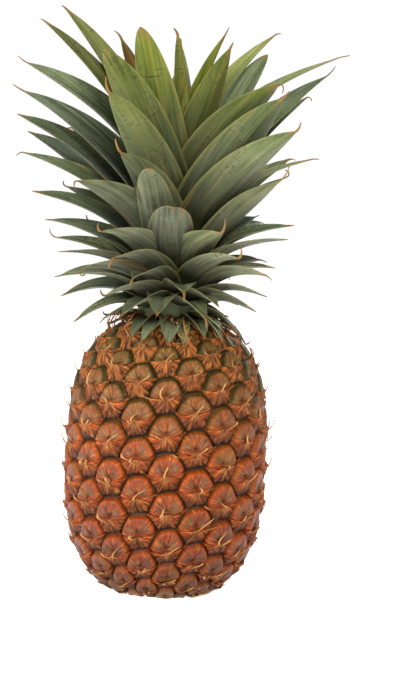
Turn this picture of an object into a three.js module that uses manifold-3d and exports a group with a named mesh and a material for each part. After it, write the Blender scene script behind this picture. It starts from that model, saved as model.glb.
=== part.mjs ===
// A whole pineapple standing on its base: the fruit with its spiral of eyes, the leafy crown
// that grows out of its top, and the cut end of the stalk underneath.
// Units are millimetres, +Z is up, and the origin is the middle of the flat spot it stands on.

import * as THREE from "three";
import { mergeVertices } from "three/addons/utils/BufferGeometryUtils.js";
import Module from "manifold-3d";

const wasm = await Module();
wasm.setup();

// Driving dimensions of the fruit
const FRUIT_RADIUS = 57.4; // at the bottom of the grooves, at the widest
const WIDEST_HEIGHT = 75;
const FRUIT_HEIGHT = 159.4; // to the seat of the crown
const LOW_POLE = -2; // the rounded bottom ends just under the surface it stands on
const HIGH_POLE = 161;
const LOW_ROUNDNESS = 2.6; // exponents of the two superellipse halves
const HIGH_ROUNDNESS = 3;
const SEAT_GAP = 0.3; // between pieces that touch
const CORNER_GAP = 0.02;

// Driving dimensions of the eyes
const EYE_TURN = 137.2; // degrees round the axis, from one eye to the next
const FIRST_EYE_TURN = 37;
const STEPS = { left: 8, right: 13, up: 21 }; // the spirals that an eye's neighbours lie on
const EYE_RISE = 1.068; // along the outline, from one eye to the next, at the widest
const RISE_TAPER = 0.45; // how fast the eyes flatten where the fruit narrows
const FIRST_EYE_AT = 21; // along the outline from the low pole
const LAST_EYE_FROM_TOP = 21; // along the outline from the high pole
const DOME_HEIGHT = 3.1;
const BRACT_HEIGHT = 2.3;
const SPINE_LENGTH = 7;
const SPINE_ROOT = 0.085; // half the spine's root, as a share of the eye
const SPINE_FADE = 50; // spines are shorter nearer than this to the poles
const BORDER_ARCH = 0.03; // how far each border bulges up, as a share of an eye's height

// Driving dimensions of the stalk
const STALK_RADIUS = 12;
const STALK_SIDES = 20;
const STALK_DEPTH = 14; // how far the stalk reaches up into the base

// Driving dimensions of the crown
const CROWN_BOTTOM = FRUIT_HEIGHT + SEAT_GAP;
const STEM_TOP = 216;
const STEM_POINT = 3; // how far its point stands over that
const STEM_SIDES = 14;
const JOIN_TOLERANCE = 0.05; // for corners drawn together where blades cross
const LEAF_THICKNESS = 1.5;
const LEAF_CHANNEL = 0.3; // how far the edges stand up, as a share of half the width
const LEAF_SINK = 9; // how far a root is sunk into the stem
const LEAF_ROOT = 0.45; // width of the sunk root, as a share of the blade's width
const FULL_WIDTH_AT = 0.3; // where along the blade its root has widened to the full width
const TIP_THINNING = 0.4; // how much thinner the tip is than the root, as a share
const LONG_LEAF = 75; // leaves shorter than this have fewer stations
const LONG_STATIONS = [0, 0.25, 0.5, 0.75, 0.92];
const SHORT_STATIONS = [0, 0.3, 0.6, 0.86];

// Degrees that a blade rolls about its midrib, from leaves at the front, -1, to the back, 1.
// Side leaves show their upper face to the front, and those between show their under face.
const ROLL = [[-1, -35], [-0.55, -35], [-0.2, 6], [0, 16], [1, 8]];
const LEAF_CLEARANCE = 5.5; // between a hanging leaf and the grooves of the fruit under it
const SHOULDER = { start: 22, width: 8 }; // the ring of the fruit over which that clearance grows
const BACK_LEAVES = 27;
const GOLDEN_SHARE = 0.381966; // of a turn, from one leaf to the next
const BACK_SIDE = [22, 136]; // degrees: where the leaves of the back start, and how far round
const BACK_TIP_SPREAD = 8; // how much the tips' heights differ
const BLUNT_SHARE = 0.2; // of the leaves of the back
const BLUNT_TIP = 0.4;

// The stem's radius at a height.
const STEM = [[CROWN_BOTTOM, 22], [166, 22], [180, 18], [196, 12], [STEM_TOP, 6]];

// The front view in which the leaves are measured: readings are in steps from its upper left
// corner, its middle lies across and up from the origin, and the plant leans in it.
const VIEW = {
  step: 0.6,
  left: 207.5,
  top: 350,
  across: 29,
  up: 145,
  distance: 1400,
  above: 5,
  lean: 2.75,
};

// The leaves of the front and the sides, from the top down. Each is the tip's reading from the
// left and from the top, how far the tip lies to the front, the root's height, the blade's
// width, how many degrees the root rises over the straight line to the tip, and how much of
// the width a blunt tip keeps.
const FRONT_LEAVES = [
  [64, 9, -30, 206, 24, 19, 0],
  [43, 22, -12, 203, 24, 22, 0],
  [118, 31, -40, 209, 18, 7, 0],
  [141, 31, 36, 207, 28, 6, 0.45],
  [105, 53, 52, 202, 29, 17, 0.3],
  [110, 95, 70, 196, 29, 25, 0],
  [178, 40, 4, 213, 11, 3, 0.5],
  [181, 42, -16, 213, 15, 3, 0],
  [187, 88, 14, 211, 11, 3, 0.7],
  [229, 31, 8, 210, 23, 14, 0],
  [233, 46, 32, 208, 23, 14, 0],
  [279, 35, -15, 206, 21, 32, 0],
  [267, 58, -38, 205, 24, 14, 0.4],
  [348, 57, 8, 203, 22, 44, 0],
  [336, 72, -28, 200, 24, 17, 0],
  [278, 87, 60, 199, 30, 35, 0.1],
  [289, 95, 66, 194, 33, 17, 0],
  [295, 134, 62, 189, 30, 28, 0],
  [318, 159, 25, 187, 22, 41, 0],
  [287, 178, 6, 185, 17, 29, 0],
  [296, 173, 38, 183, 22, 17, 0],
  [19, 61, -22, 199, 30, 36, 0.12],
  [14, 88, -35, 196, 29, 25, 0],
  [19, 116, -30, 192, 27, 25, 0],
  [29, 133, -42, 189, 27, 20, 0],
  [25, 154, -8, 186, 23, 35, 0],
  [113, 148, 74, 188, 26, 39, 0.1],
  [78, 182, 62, 184, 29, 39, 0],
  [147, 170, 74, 186, 23, 14, 0.5],
  [172, 208, 74, 182, 28, 20, 0.6],
  [33, 192, -15, 182, 21, 35, 0],
  [46, 220, -28, 178, 21, 32, 0],
  [101, 232, 62, 178, 25, 46, 0],
  [57, 238, 0, 175, 18, 35, 0],
  [59, 252, 25, 173, 18, 39, 0],
  [82, 269, 44, 171, 20, 46, 0],
  [115, 258, 62, 174, 23, 52, 0],
  [55, 277, 8, 170, 21, 42, 0],
  [61, 296, -18, 167, 21, 45, 0],
  [134, 278, 62, 171, 23, 55, 0.1],
  [106, 296, 50, 167, 21, 52, 0],
  [74, 322, 10, 165, 18, 55, 0],
  [99, 322, 32, 163, 12, 67, 0],
  [119, 318, 50, 165, 21, 67, 0],
  [221, 234, 66, 179, 25, 38, 0],
  [259, 216, -40, 182, 23, 22, 0],
  [294, 226, 4, 179, 21, 38, 0],
  [288, 240, 20, 176, 21, 39, 0],
  [238, 259, 54, 174, 18, 41, 0],
  [275, 268, 12, 172, 18, 41, 0],
  [273, 277, 32, 170, 21, 44, 0],
  [267, 297, 18, 168, 21, 51, 0],
  [256, 312, 28, 165, 21, 61, 0],
  [247, 308, -20, 166, 18, 52, 0],
  [219, 307, 48, 167, 18, 55, 0],
  [185, 297, 62, 169, 21, 55, 0.1],
  [205, 318, 52, 165, 21, 64, 0],
  [234, 328, 16, 164, 14, 72, 0],
  [224, 332, 36, 163, 14, 30, 0],
  [157, 316, 58, 166, 21, 67, 0.2],
  [130, 340, 41, 163, 15, 36, 0],
  [141, 344, 45, 163, 17, 37, 0],
  [168, 346, 49, 163, 18, 37, 0],
  [184, 347, 49, 162, 16, 37, 0],
  [205, 339, 43, 163, 17, 35, 0],
  [223, 341, 36, 163, 16, 35, 0],
];

// The leaves of the back, from the lowest at 0 to the highest at 1.
const BACK_REACH = [[0, 48], [0.15, 60], [0.35, 74], [0.6, 94], [0.8, 84], [1, 44]];
const BACK_TOP = [[0, 151], [0.15, 172], [0.35, 205], [0.6, 262], [0.8, 300], [1, 322]];
const BACK_ROOT = [[0, 163], [0.15, 166], [0.35, 174], [0.6, 188], [0.8, 200], [1, 211]];
const BACK_WIDTH = [[0, 15], [0.35, 19], [0.7, 23], [1, 19]];
const BACK_ARCH = [[0, 60], [0.15, 40], [0.35, 29], [0.6, 20], [1, 8]];

// The value at t on a line through [t, value] points.
function along(points, t) {
  for (let k = 1; k < points.length; k++) {
    const [t0, v0] = points[k - 1];
    const [t1, v1] = points[k];
    if (t <= t1) return v0 + ((v1 - v0) * (t - t0)) / (t1 - t0);
  }
  return points[points.length - 1][1];
}

// A number from 0 to 1 that depends only on the item and the draw.
function draw(item, which) {
  const x = Math.sin(item * 12.9898 + which * 78.233) * 43758.5453;
  return x - Math.floor(x);
}

// The fruit's outline, as points from the low pole to the high pole with the length along it.
function outline(count = 600) {
  const points = [];
  let length = 0;
  for (let k = 0; k <= count; k++) {
    const a = (Math.PI * k) / count;
    const low = a < Math.PI / 2;
    const n = low ? LOW_ROUNDNESS : HIGH_ROUNDNESS;
    const half = low ? WIDEST_HEIGHT - LOW_POLE : HIGH_POLE - WIDEST_HEIGHT;
    const r = FRUIT_RADIUS * Math.sin(a) ** (2 / n);
    const z = WIDEST_HEIGHT - Math.sign(Math.cos(a)) * half * Math.abs(Math.cos(a)) ** (2 / n);
    const last = points[k - 1];
    if (last) length += Math.hypot(r - last.r, z - last.z);
    points.push({ r, z, length });
  }
  return points;
}

const OUTLINE = outline();
const OUTLINE_LENGTH = OUTLINE[OUTLINE.length - 1].length;

// The outline's radius, height and outward normal at a length along it.
function onOutline(length) {
  const s = THREE.MathUtils.clamp(length, 0, OUTLINE_LENGTH);
  let k = 1;
  while (k < OUTLINE.length - 1 && OUTLINE[k].length < s) k++;
  const a = OUTLINE[k - 1];
  const b = OUTLINE[k];
  const f = (s - a.length) / Math.max(b.length - a.length, 1e-9);
  const step = Math.hypot(b.r - a.r, b.z - a.z) || 1;
  return {
    r: a.r + (b.r - a.r) * f,
    z: a.z + (b.z - a.z) * f,
    outR: (b.z - a.z) / step,
    outZ: -(b.r - a.r) / step,
  };
}

// A point of the fruit's skin: s along the outline, turn round the axis, height above the groove.
function skin(s, turn, height) {
  const o = onOutline(s);
  const r = o.r + o.outR * height;
  return new THREE.Vector3(r * Math.cos(turn), r * Math.sin(turn), o.z + o.outZ * height);
}

// The eyes, as {s, turn}, from the base to the top, with a margin at both ends.
function eyePlaces() {
  const margin = STEPS.up + STEPS.right;
  const rise = (s) => EYE_RISE * Math.max(onOutline(s).r / FRUIT_RADIUS, 0.2) ** RISE_TAPER;
  const heights = [FIRST_EYE_AT];
  while (heights[heights.length - 1] < OUTLINE_LENGTH - LAST_EYE_FROM_TOP) {
    const s = heights[heights.length - 1];
    heights.push(s + rise(s));
  }
  const count = heights.length;
  const before = Array.from({ length: margin }, (_, k) => heights[0] - (margin - k) * rise(heights[0]));
  const last = heights[count - 1];
  const after = Array.from({ length: margin }, (_, k) => last + (k + 1) * rise(last));
  return [...before, ...heights, ...after].map((s, k) => ({
    s,
    turn: THREE.MathUtils.degToRad(FIRST_EYE_TURN - (k - margin) * EYE_TURN),
    real: k >= margin && k < margin + count,
  }));
}

// Triangles that share corners by name, so that neighbouring eyes meet exactly.
class Skin {
  points = [];
  byName = new Map();
  triangles = [];
  corner(name, make) {
    if (!this.byName.has(name)) {
      this.byName.set(name, this.points.length);
      this.points.push(make());
    }
    return this.byName.get(name);
  }
  add(point) {
    this.points.push(point);
    return this.points.length - 1;
  }
  // Joins two chains of points that start and end side by side; the first lies outside, to the right.
  band(outer, inner) {
    let i = 0;
    let j = 0;
    while (i < outer.length - 1 || j < inner.length - 1) {
      const ahead = (i + 1) * (inner.length - 1) <= (j + 1) * (outer.length - 1);
      const stepOuter = j === inner.length - 1 || ahead;
      if (i < outer.length - 1 && stepOuter) this.triangles.push([outer[i], outer[++i], inner[j]]);
      else this.triangles.push([outer[i], inner[j + 1], inner[j++]]);
    }
  }
  // Closes the loop of free edges on one side of a height with a fan to a point on the axis.
  cap(above, pole) {
    const edges = new Map();
    for (const [a, b, c] of this.triangles)
      for (const [p, q] of [[a, b], [b, c], [c, a]]) edges.set(`${p} ${q}`, [p, q]);
    const centre = this.add(new THREE.Vector3(0, 0, pole));
    for (const [p, q] of edges.values()) {
      const open = !edges.has(`${q} ${p}`);
      if (open && this.points[p].z > WIDEST_HEIGHT === above) this.triangles.push([q, p, centre]);
    }
  }
  geometry() {
    const g = new THREE.BufferGeometry();
    g.setAttribute("position", new THREE.Float32BufferAttribute(this.points.flatMap((p) => p.toArray()), 3));
    g.setIndex(this.triangles.flat());
    return g;
  }
}

// The fruit's skin: six-sided eyes, each a dome over a pointed bract with a spine at its tip.
function eyedSkin() {
  const eyes = eyePlaces();
  const mesh = new Skin();
  const shortTurn = (from, to) => {
    const d = (eyes[to].turn - eyes[from].turn) % (2 * Math.PI);
    return d > Math.PI ? d - 2 * Math.PI : d < -Math.PI ? d + 2 * Math.PI : d;
  };
  // Where three eyes meet, and how far the middle of each border bulges into the eye above it
  const place = (n, others, bulge = 0) => {
    const s = others.reduce((sum, m) => sum + eyes[m].s, eyes[n].s) / (others.length + 1);
    const turn = others.reduce((sum, m) => sum + shortTurn(n, m), 0) / (others.length + 1);
    return { s: s + bulge, turn: eyes[n].turn + turn };
  };
  const border = (ids, bulge = 0) => {
    const sorted = [...ids].sort((a, b) => a - b);
    const at = place(sorted[0], sorted.slice(1), bulge);
    return mesh.corner(sorted.join("-"), () => skin(at.s, at.turn, 0));
  };
  const { left, right, up } = STEPS;
  for (let n = up; n < eyes.length - up; n++) {
    if (!eyes[n].real) continue;
    const size = eyes[n + up].s - eyes[n].s;
    const arch = size * BORDER_ARCH;
    // Round the eye from its left corner over the top to its right corner, then under it
    const overTop = [
      border([n, n + left, n - right]),
      border([n, n + left], arch),
      border([n, n + left, n + up]),
      border([n, n + up], arch),
      border([n, n + right, n + up]),
      border([n, n + right], arch),
      border([n, n + right, n - left]),
    ];
    const under = [
      overTop[6],
      border([n, n - left], arch),
      border([n, n - left, n - up]),
      border([n, n - up], arch),
      border([n, n - right, n - up]),
      border([n, n - right], arch),
      overTop[0],
    ];
    const half = size / 2;
    const wide = (shortTurn(n, n + right) - shortTurn(n, n + left)) / 3;
    const skew = (eyes[n + right].s + eyes[n - left].s - 2 * eyes[n].s) / 3;
    const inner = (x, y, height) =>
      mesh.add(skin(eyes[n].s + y * half + x * skew, eyes[n].turn + x * wide, height));
    const dome = [
      inner(-0.84, -0.06, DOME_HEIGHT * 0.62),
      inner(-0.62, 0.56, DOME_HEIGHT * 0.8),
      inner(0, 0.78, DOME_HEIGHT * 0.8),
      inner(0.62, 0.56, DOME_HEIGHT * 0.8),
      inner(0.84, -0.06, DOME_HEIGHT * 0.62),
    ];
    const bract = [
      dome[4],
      inner(0.42, -0.52, BRACT_HEIGHT * 0.8),
      inner(-0.42, -0.52, BRACT_HEIGHT * 0.8),
      dome[0],
    ];
    const crest = inner(0, 0.3, DOME_HEIGHT);
    const root = [
      inner(-SPINE_ROOT * 2, -0.06, DOME_HEIGHT),
      inner(SPINE_ROOT * 2, -0.06, DOME_HEIGHT),
      inner(0, -0.06 - SPINE_ROOT * 3, BRACT_HEIGHT * 1.1),
    ];
    mesh.band([...overTop].reverse(), [...dome].reverse());
    mesh.band([...under].reverse(), [...bract].reverse());
    const [a, b, c] = root;
    mesh.triangles.push(
      [dome[0], crest, dome[1]],
      [dome[1], crest, dome[2]],
      [dome[2], crest, dome[3]],
      [dome[3], crest, dome[4]],
      [dome[0], a, crest],
      [a, b, crest],
      [b, dome[4], crest],
      [dome[4], b, bract[1]],
      [b, c, bract[1]],
      [c, bract[2], bract[1]],
      [c, a, bract[2]],
      [a, dome[0], bract[2]],
    );
    // The spine leans up over the dome, each a little differently
    const lean = 0.42 + 0.25 * draw(n, 1);
    const sideways = 0.5 * (draw(n, 2) - 0.5);
    const fromEnd = Math.min(eyes[n].s, OUTLINE_LENGTH - eyes[n].s);
    const fade = THREE.MathUtils.clamp(fromEnd / SPINE_FADE - 0.4, 0.3, 1);
    const length = SPINE_LENGTH * (0.55 + 0.6 * draw(n, 3)) * fade;
    const tip = inner(sideways, -0.1 + (lean * length) / half, BRACT_HEIGHT + length * 0.8);
    mesh.triangles.push([a, tip, b], [b, tip, c], [c, tip, a]);
  }
  mesh.cap(true, HIGH_POLE);
  mesh.cap(false, LOW_POLE);
  return mesh.geometry();
}

function solid(geometry) {
  const plain = geometry.index ? geometry.toNonIndexed() : geometry.clone();
  plain.deleteAttribute("normal");
  plain.deleteAttribute("uv");
  const merged = mergeVertices(plain, 1e-4);
  return new wasm.Manifold(
    new wasm.Mesh({
      numProp: 3,
      vertProperties: merged.attributes.position.array,
      triVerts: new Uint32Array(merged.index.array),
    }),
  );
}

// Corners that share a place without sharing a face are drawn in a little, each along its own
// normal, so that every edge has just two faces.
function partCorners(geometry) {
  geometry.computeVertexNormals();
  const { position, normal } = geometry.attributes;
  const places = new Map();
  for (let k = 0; k < position.count; k++) {
    const place = [position.getX(k), position.getY(k), position.getZ(k)].map((v) => v.toFixed(3)).join();
    places.set(place, [...(places.get(place) ?? []), k]);
  }
  for (const k of [...places.values()].filter((corners) => corners.length > 1).flat())
    position.setXYZ(
      k,
      position.getX(k) - normal.getX(k) * CORNER_GAP,
      position.getY(k) - normal.getY(k) * CORNER_GAP,
      position.getZ(k) - normal.getZ(k) * CORNER_GAP,
    );
}

function geometryOf(manifold) {
  const made = manifold.getMesh();
  const g = new THREE.BufferGeometry();
  g.setAttribute("position", new THREE.Float32BufferAttribute(Array.from(made.vertProperties), 3));
  g.setIndex(Array.from(made.triVerts));
  partCorners(g);
  return g;
}

// A round bar about the Z axis from one height to another.
function bar(radius, from, to, sides) {
  const g = new THREE.CylinderGeometry(radius, radius, to - from, sides);
  g.rotateX(Math.PI / 2).translate(0, 0, (from + to) / 2);
  return solid(g);
}

// The fruit, flat where it stands, with a seat for the crown and a socket for the stalk.
function fruit() {
  const wide = FRUIT_RADIUS * 3;
  return solid(eyedSkin())
    .intersect(bar(wide, 0, FRUIT_HEIGHT, 4))
    .subtract(bar(STALK_RADIUS + SEAT_GAP, -1, STALK_DEPTH, STALK_SIDES));
}

// A leaf of the front or the sides, from one row of readings.
function frontLeaf([left, top, forward, rootHeight, width, arch, blunt]) {
  const [above, lean] = [VIEW.above, VIEW.lean].map(THREE.MathUtils.degToRad);
  const shrink = (VIEW.step * (VIEW.distance - forward * Math.cos(above))) / VIEW.distance;
  const across = VIEW.across + (left - VIEW.left) * shrink;
  const up = VIEW.up + ((VIEW.top - top) * shrink + forward * Math.sin(above)) / Math.cos(above);
  const x = across * Math.cos(lean) - up * Math.sin(lean);
  const z = across * Math.sin(lean) + up * Math.cos(lean);
  return { tip: new THREE.Vector3(x, -forward, z), rootHeight, width, arch, blunt };
}

// Leaf k of the back, spaced by the golden angle.
function backLeaf(k) {
  const t = (k + 0.5) / BACK_LEAVES;
  const share = (k * GOLDEN_SHARE) % 1;
  const turn = THREE.MathUtils.degToRad(BACK_SIDE[0] + BACK_SIDE[1] * share);
  const reach = along(BACK_REACH, t) * (0.9 + 0.2 * draw(k, 4));
  return {
    tip: new THREE.Vector3(
      reach * Math.cos(turn),
      reach * Math.sin(turn),
      along(BACK_TOP, t) + BACK_TIP_SPREAD * (draw(k, 5) - 0.5),
    ),
    rootHeight: along(BACK_ROOT, t),
    width: along(BACK_WIDTH, t),
    arch: along(BACK_ARCH, t) * (0.8 + 0.4 * draw(k, 6)),
    blunt: draw(k, 7) > 1 - BLUNT_SHARE ? BLUNT_TIP : 0,
  };
}

// The blade's half width at s along it, as a share of its widest.
function bladeShape(s, blunt) {
  const taper = Math.max(1 - s ** 3, 0) ** 0.8;
  const root = LEAF_ROOT + (1 - LEAF_ROOT) * Math.min(s / FULL_WIDTH_AT, 1);
  return (blunt + (1 - blunt) * taper) * root;
}

// How far points move together, out of the fruit's shoulder, to stay clear of its eyes.
function clearing(points) {
  const push = new THREE.Vector3();
  for (const p of points) {
    const r = Math.hypot(p.x, p.y);
    const nearest = OUTLINE.reduce((a, b) =>
      Math.hypot(a.r - r, a.z - p.z) < Math.hypot(b.r - r, b.z - p.z) ? a : b,
    );
    const o = onOutline(nearest.length);
    const gap = (r - o.r) * o.outR + (p.z - o.z) * o.outZ;
    const share = THREE.MathUtils.clamp((r - SHOULDER.start) / SHOULDER.width, 0, 1);
    const need = LEAF_CLEARANCE * share - gap;
    if (need > push.length())
      push.set((o.outR * p.x) / r, (o.outR * p.y) / r, o.outZ).multiplyScalar(need);
  }
  return push;
}

// A channelled blade that tapers to its tip, its root sunk into the stem.
function leaf({ tip, rootHeight, width, arch, blunt }) {
  const reach = Math.hypot(tip.x, tip.y);
  const outward = new THREE.Vector3(tip.x / reach, tip.y / reach, 0);
  const level = new THREE.Vector3(outward.y, -outward.x, 0);
  const rise = (r, z) => outward.clone().multiplyScalar(r).setZ(z);
  const root = rise(Math.max(along(STEM, rootHeight) - LEAF_SINK, 1), rootHeight);
  const chord = root.distanceTo(tip);
  const first = Math.asin((tip.z - root.z) / chord) + THREE.MathUtils.degToRad(arch);
  const bend = root.clone().add(rise(Math.cos(first), Math.sin(first)).multiplyScalar(chord / 2));
  const curve = new THREE.QuadraticBezierCurve3(root, bend, tip);
  const points = [];
  const rings = [];
  for (const s of chord > LONG_LEAF ? LONG_STATIONS : SHORT_STATIONS) {
    const at = curve.getPoint(s);
    const roll = -outward.x * THREE.MathUtils.degToRad(along(ROLL, outward.y)) * s ** 0.5;
    const side = level.clone().applyAxisAngle(curve.getTangent(s), -roll);
    const face = new THREE.Vector3().crossVectors(side, curve.getTangent(s));
    const half = (bladeShape(s, blunt) * width) / 2;
    const thick = LEAF_THICKNESS * (1 - TIP_THINNING * s);
    const edge = half * LEAF_CHANNEL;
    const section = [[-half, edge], [0, -thick / 2], [half, edge], [0, thick / 2]];
    const ring = section.map(([x, y]) => at.clone().addScaledVector(side, x).addScaledVector(face, y));
    const push = clearing([at, ...ring]);
    rings.push(ring.map((p) => points.push(p.add(push)) - 1));
  }
  const end = points.push(tip.clone().add(clearing([tip]))) - 1;
  const triangles = [];
  for (let r = 1; r < rings.length; r++)
    for (let c = 0; c < 4; c++) {
      const d = (c + 1) % 4;
      const [a, b, e, f] = [rings[r - 1][c], rings[r - 1][d], rings[r][d], rings[r][c]];
      triangles.push([a, e, b], [a, f, e]);
    }
  const low = rings[0];
  const high = rings[rings.length - 1];
  triangles.push([low[0], low[1], low[3]], [low[1], low[2], low[3]]);
  for (let c = 0; c < 4; c++) triangles.push([high[(c + 1) % 4], high[c], end]);
  const g = new THREE.BufferGeometry();
  g.setAttribute("position", new THREE.Float32BufferAttribute(points.flatMap((p) => p.toArray()), 3));
  g.setIndex(triangles.flat());
  return solid(g);
}

// The short stem that carries the leaves.
function stem() {
  const profile = [[0, CROWN_BOTTOM], ...STEM.map(([z, r]) => [r, z]), [0, STEM_TOP + STEM_POINT]];
  const g = new THREE.LatheGeometry(profile.map(([r, z]) => new THREE.Vector2(r, z)), STEM_SIDES);
  g.rotateX(Math.PI / 2);
  return solid(g);
}

// The crown: the leaves fused to their stem, solid where their roots close pockets between them.
function crown() {
  const back = Array.from({ length: BACK_LEAVES }, (_, k) => backLeaf(k));
  const leaves = [...FRONT_LEAVES.map(frontLeaf), ...back].map(leaf);
  const skins = wasm.Manifold.union([stem(), ...leaves]).simplify(JOIN_TOLERANCE).decompose();
  return skins.reduce((a, b) => (a.volume() > b.volume() ? a : b));
}

function piece(name, manifold, look) {
  const mesh = new THREE.Mesh(geometryOf(manifold), new THREE.MeshStandardMaterial(look));
  mesh.name = name;
  return mesh;
}

const pineapple = new THREE.Group();
pineapple.add(
  piece("fruit", fruit(), { color: 0xb5622c, roughness: 0.62, metalness: 0 }),
  piece("crown", crown(), { color: 0x667a4a, roughness: 0.55, metalness: 0 }),
  piece("stalk", bar(STALK_RADIUS, 0, STALK_DEPTH - SEAT_GAP, STALK_SIDES), {
    color: 0xb79c6a,
    roughness: 0.85,
    metalness: 0,
  }),
);

export default pineapple;
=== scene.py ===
"""The finished surface of a whole pineapple, built around its solid model."""

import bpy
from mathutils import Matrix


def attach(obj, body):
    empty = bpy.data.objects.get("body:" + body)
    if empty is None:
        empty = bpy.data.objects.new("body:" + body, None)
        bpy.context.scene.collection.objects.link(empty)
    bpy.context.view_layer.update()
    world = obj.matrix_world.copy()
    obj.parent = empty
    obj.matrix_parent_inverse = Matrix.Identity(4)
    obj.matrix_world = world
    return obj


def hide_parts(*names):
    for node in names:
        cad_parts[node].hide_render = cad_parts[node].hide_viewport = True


bl_info = {
    "name": "Pineapple",
    "version": (1, 0, 0),
    "blender": (4, 5, 0),
    "location": "View3D > Sidebar > Pineapple",
    "description": "Builds the rind, bracts, crown leaves and stage of a whole pineapple",
    "category": "Object",
}

import bisect
import math

import bpy
from mathutils import Matrix, Vector

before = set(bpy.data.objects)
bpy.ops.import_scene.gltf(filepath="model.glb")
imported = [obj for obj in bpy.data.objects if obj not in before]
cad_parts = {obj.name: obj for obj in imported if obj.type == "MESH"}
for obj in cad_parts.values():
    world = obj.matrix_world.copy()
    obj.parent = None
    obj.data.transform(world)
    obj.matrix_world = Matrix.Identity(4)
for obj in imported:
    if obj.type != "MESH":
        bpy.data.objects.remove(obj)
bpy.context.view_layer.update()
MM = 0.001

# The fruit's outline, in millimetres, as in the solid model.
FRUIT_RADIUS = 57.4
WIDEST_HEIGHT = 75
FRUIT_HEIGHT = 159.4
LOW_POLE = -2
HIGH_POLE = 161
LOW_ROUNDNESS = 2.6
HIGH_ROUNDNESS = 3

# The spiral of eyes, as in the solid model.
EYE_TURN = 137.2
FIRST_EYE_TURN = 37
LEFT, RIGHT, UP = 8, 13, 21
EYE_RISE = 1.068
RISE_TAPER = 0.45
FIRST_EYE_AT = 21
LAST_EYE_FROM_TOP = 21
SPINE_FADE = 50
BORDER_ARCH = 0.03

# The stalk, its socket in the base, and the crown's seat at the top.
STALK_RADIUS = 12
STALK_SOCKET = 12.4
STALK_DEPTH = 13.9
SEAT_RADIUS = 19
SEAT_SINK = 0.6

# The stem's radius at a height, and how deep a leaf's root is sunk in it.
CROWN_BOTTOM = 159.7
STEM_TOP = 216
STEM = [(CROWN_BOTTOM, 22), (166, 22), (180, 18), (196, 12), (STEM_TOP, 6)]
STEM_TIP = (STEM_TOP + 3, 1)
LEAF_SINK = 9

# Degrees that a blade rolls about its midrib, from leaves at the front, -1, to the back, 1.
ROLL = [(-1, -35), (-0.55, -35), (-0.2, 8), (0, 24), (0.5, 24), (1, 8)]

# The front view in which the leaves are measured, in steps of VIEW_STEP from its upper left
# corner. Its middle lies across and up from the origin, and the plant leans in it.
VIEW_STEP = 0.6
VIEW_LEFT, VIEW_TOP = 207.5, 350
VIEW_ACROSS, VIEW_UP = 29, 145
VIEW_DISTANCE = 1400
VIEW_ABOVE = math.radians(5)
VIEW_LEAN = math.radians(2.75)

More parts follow.
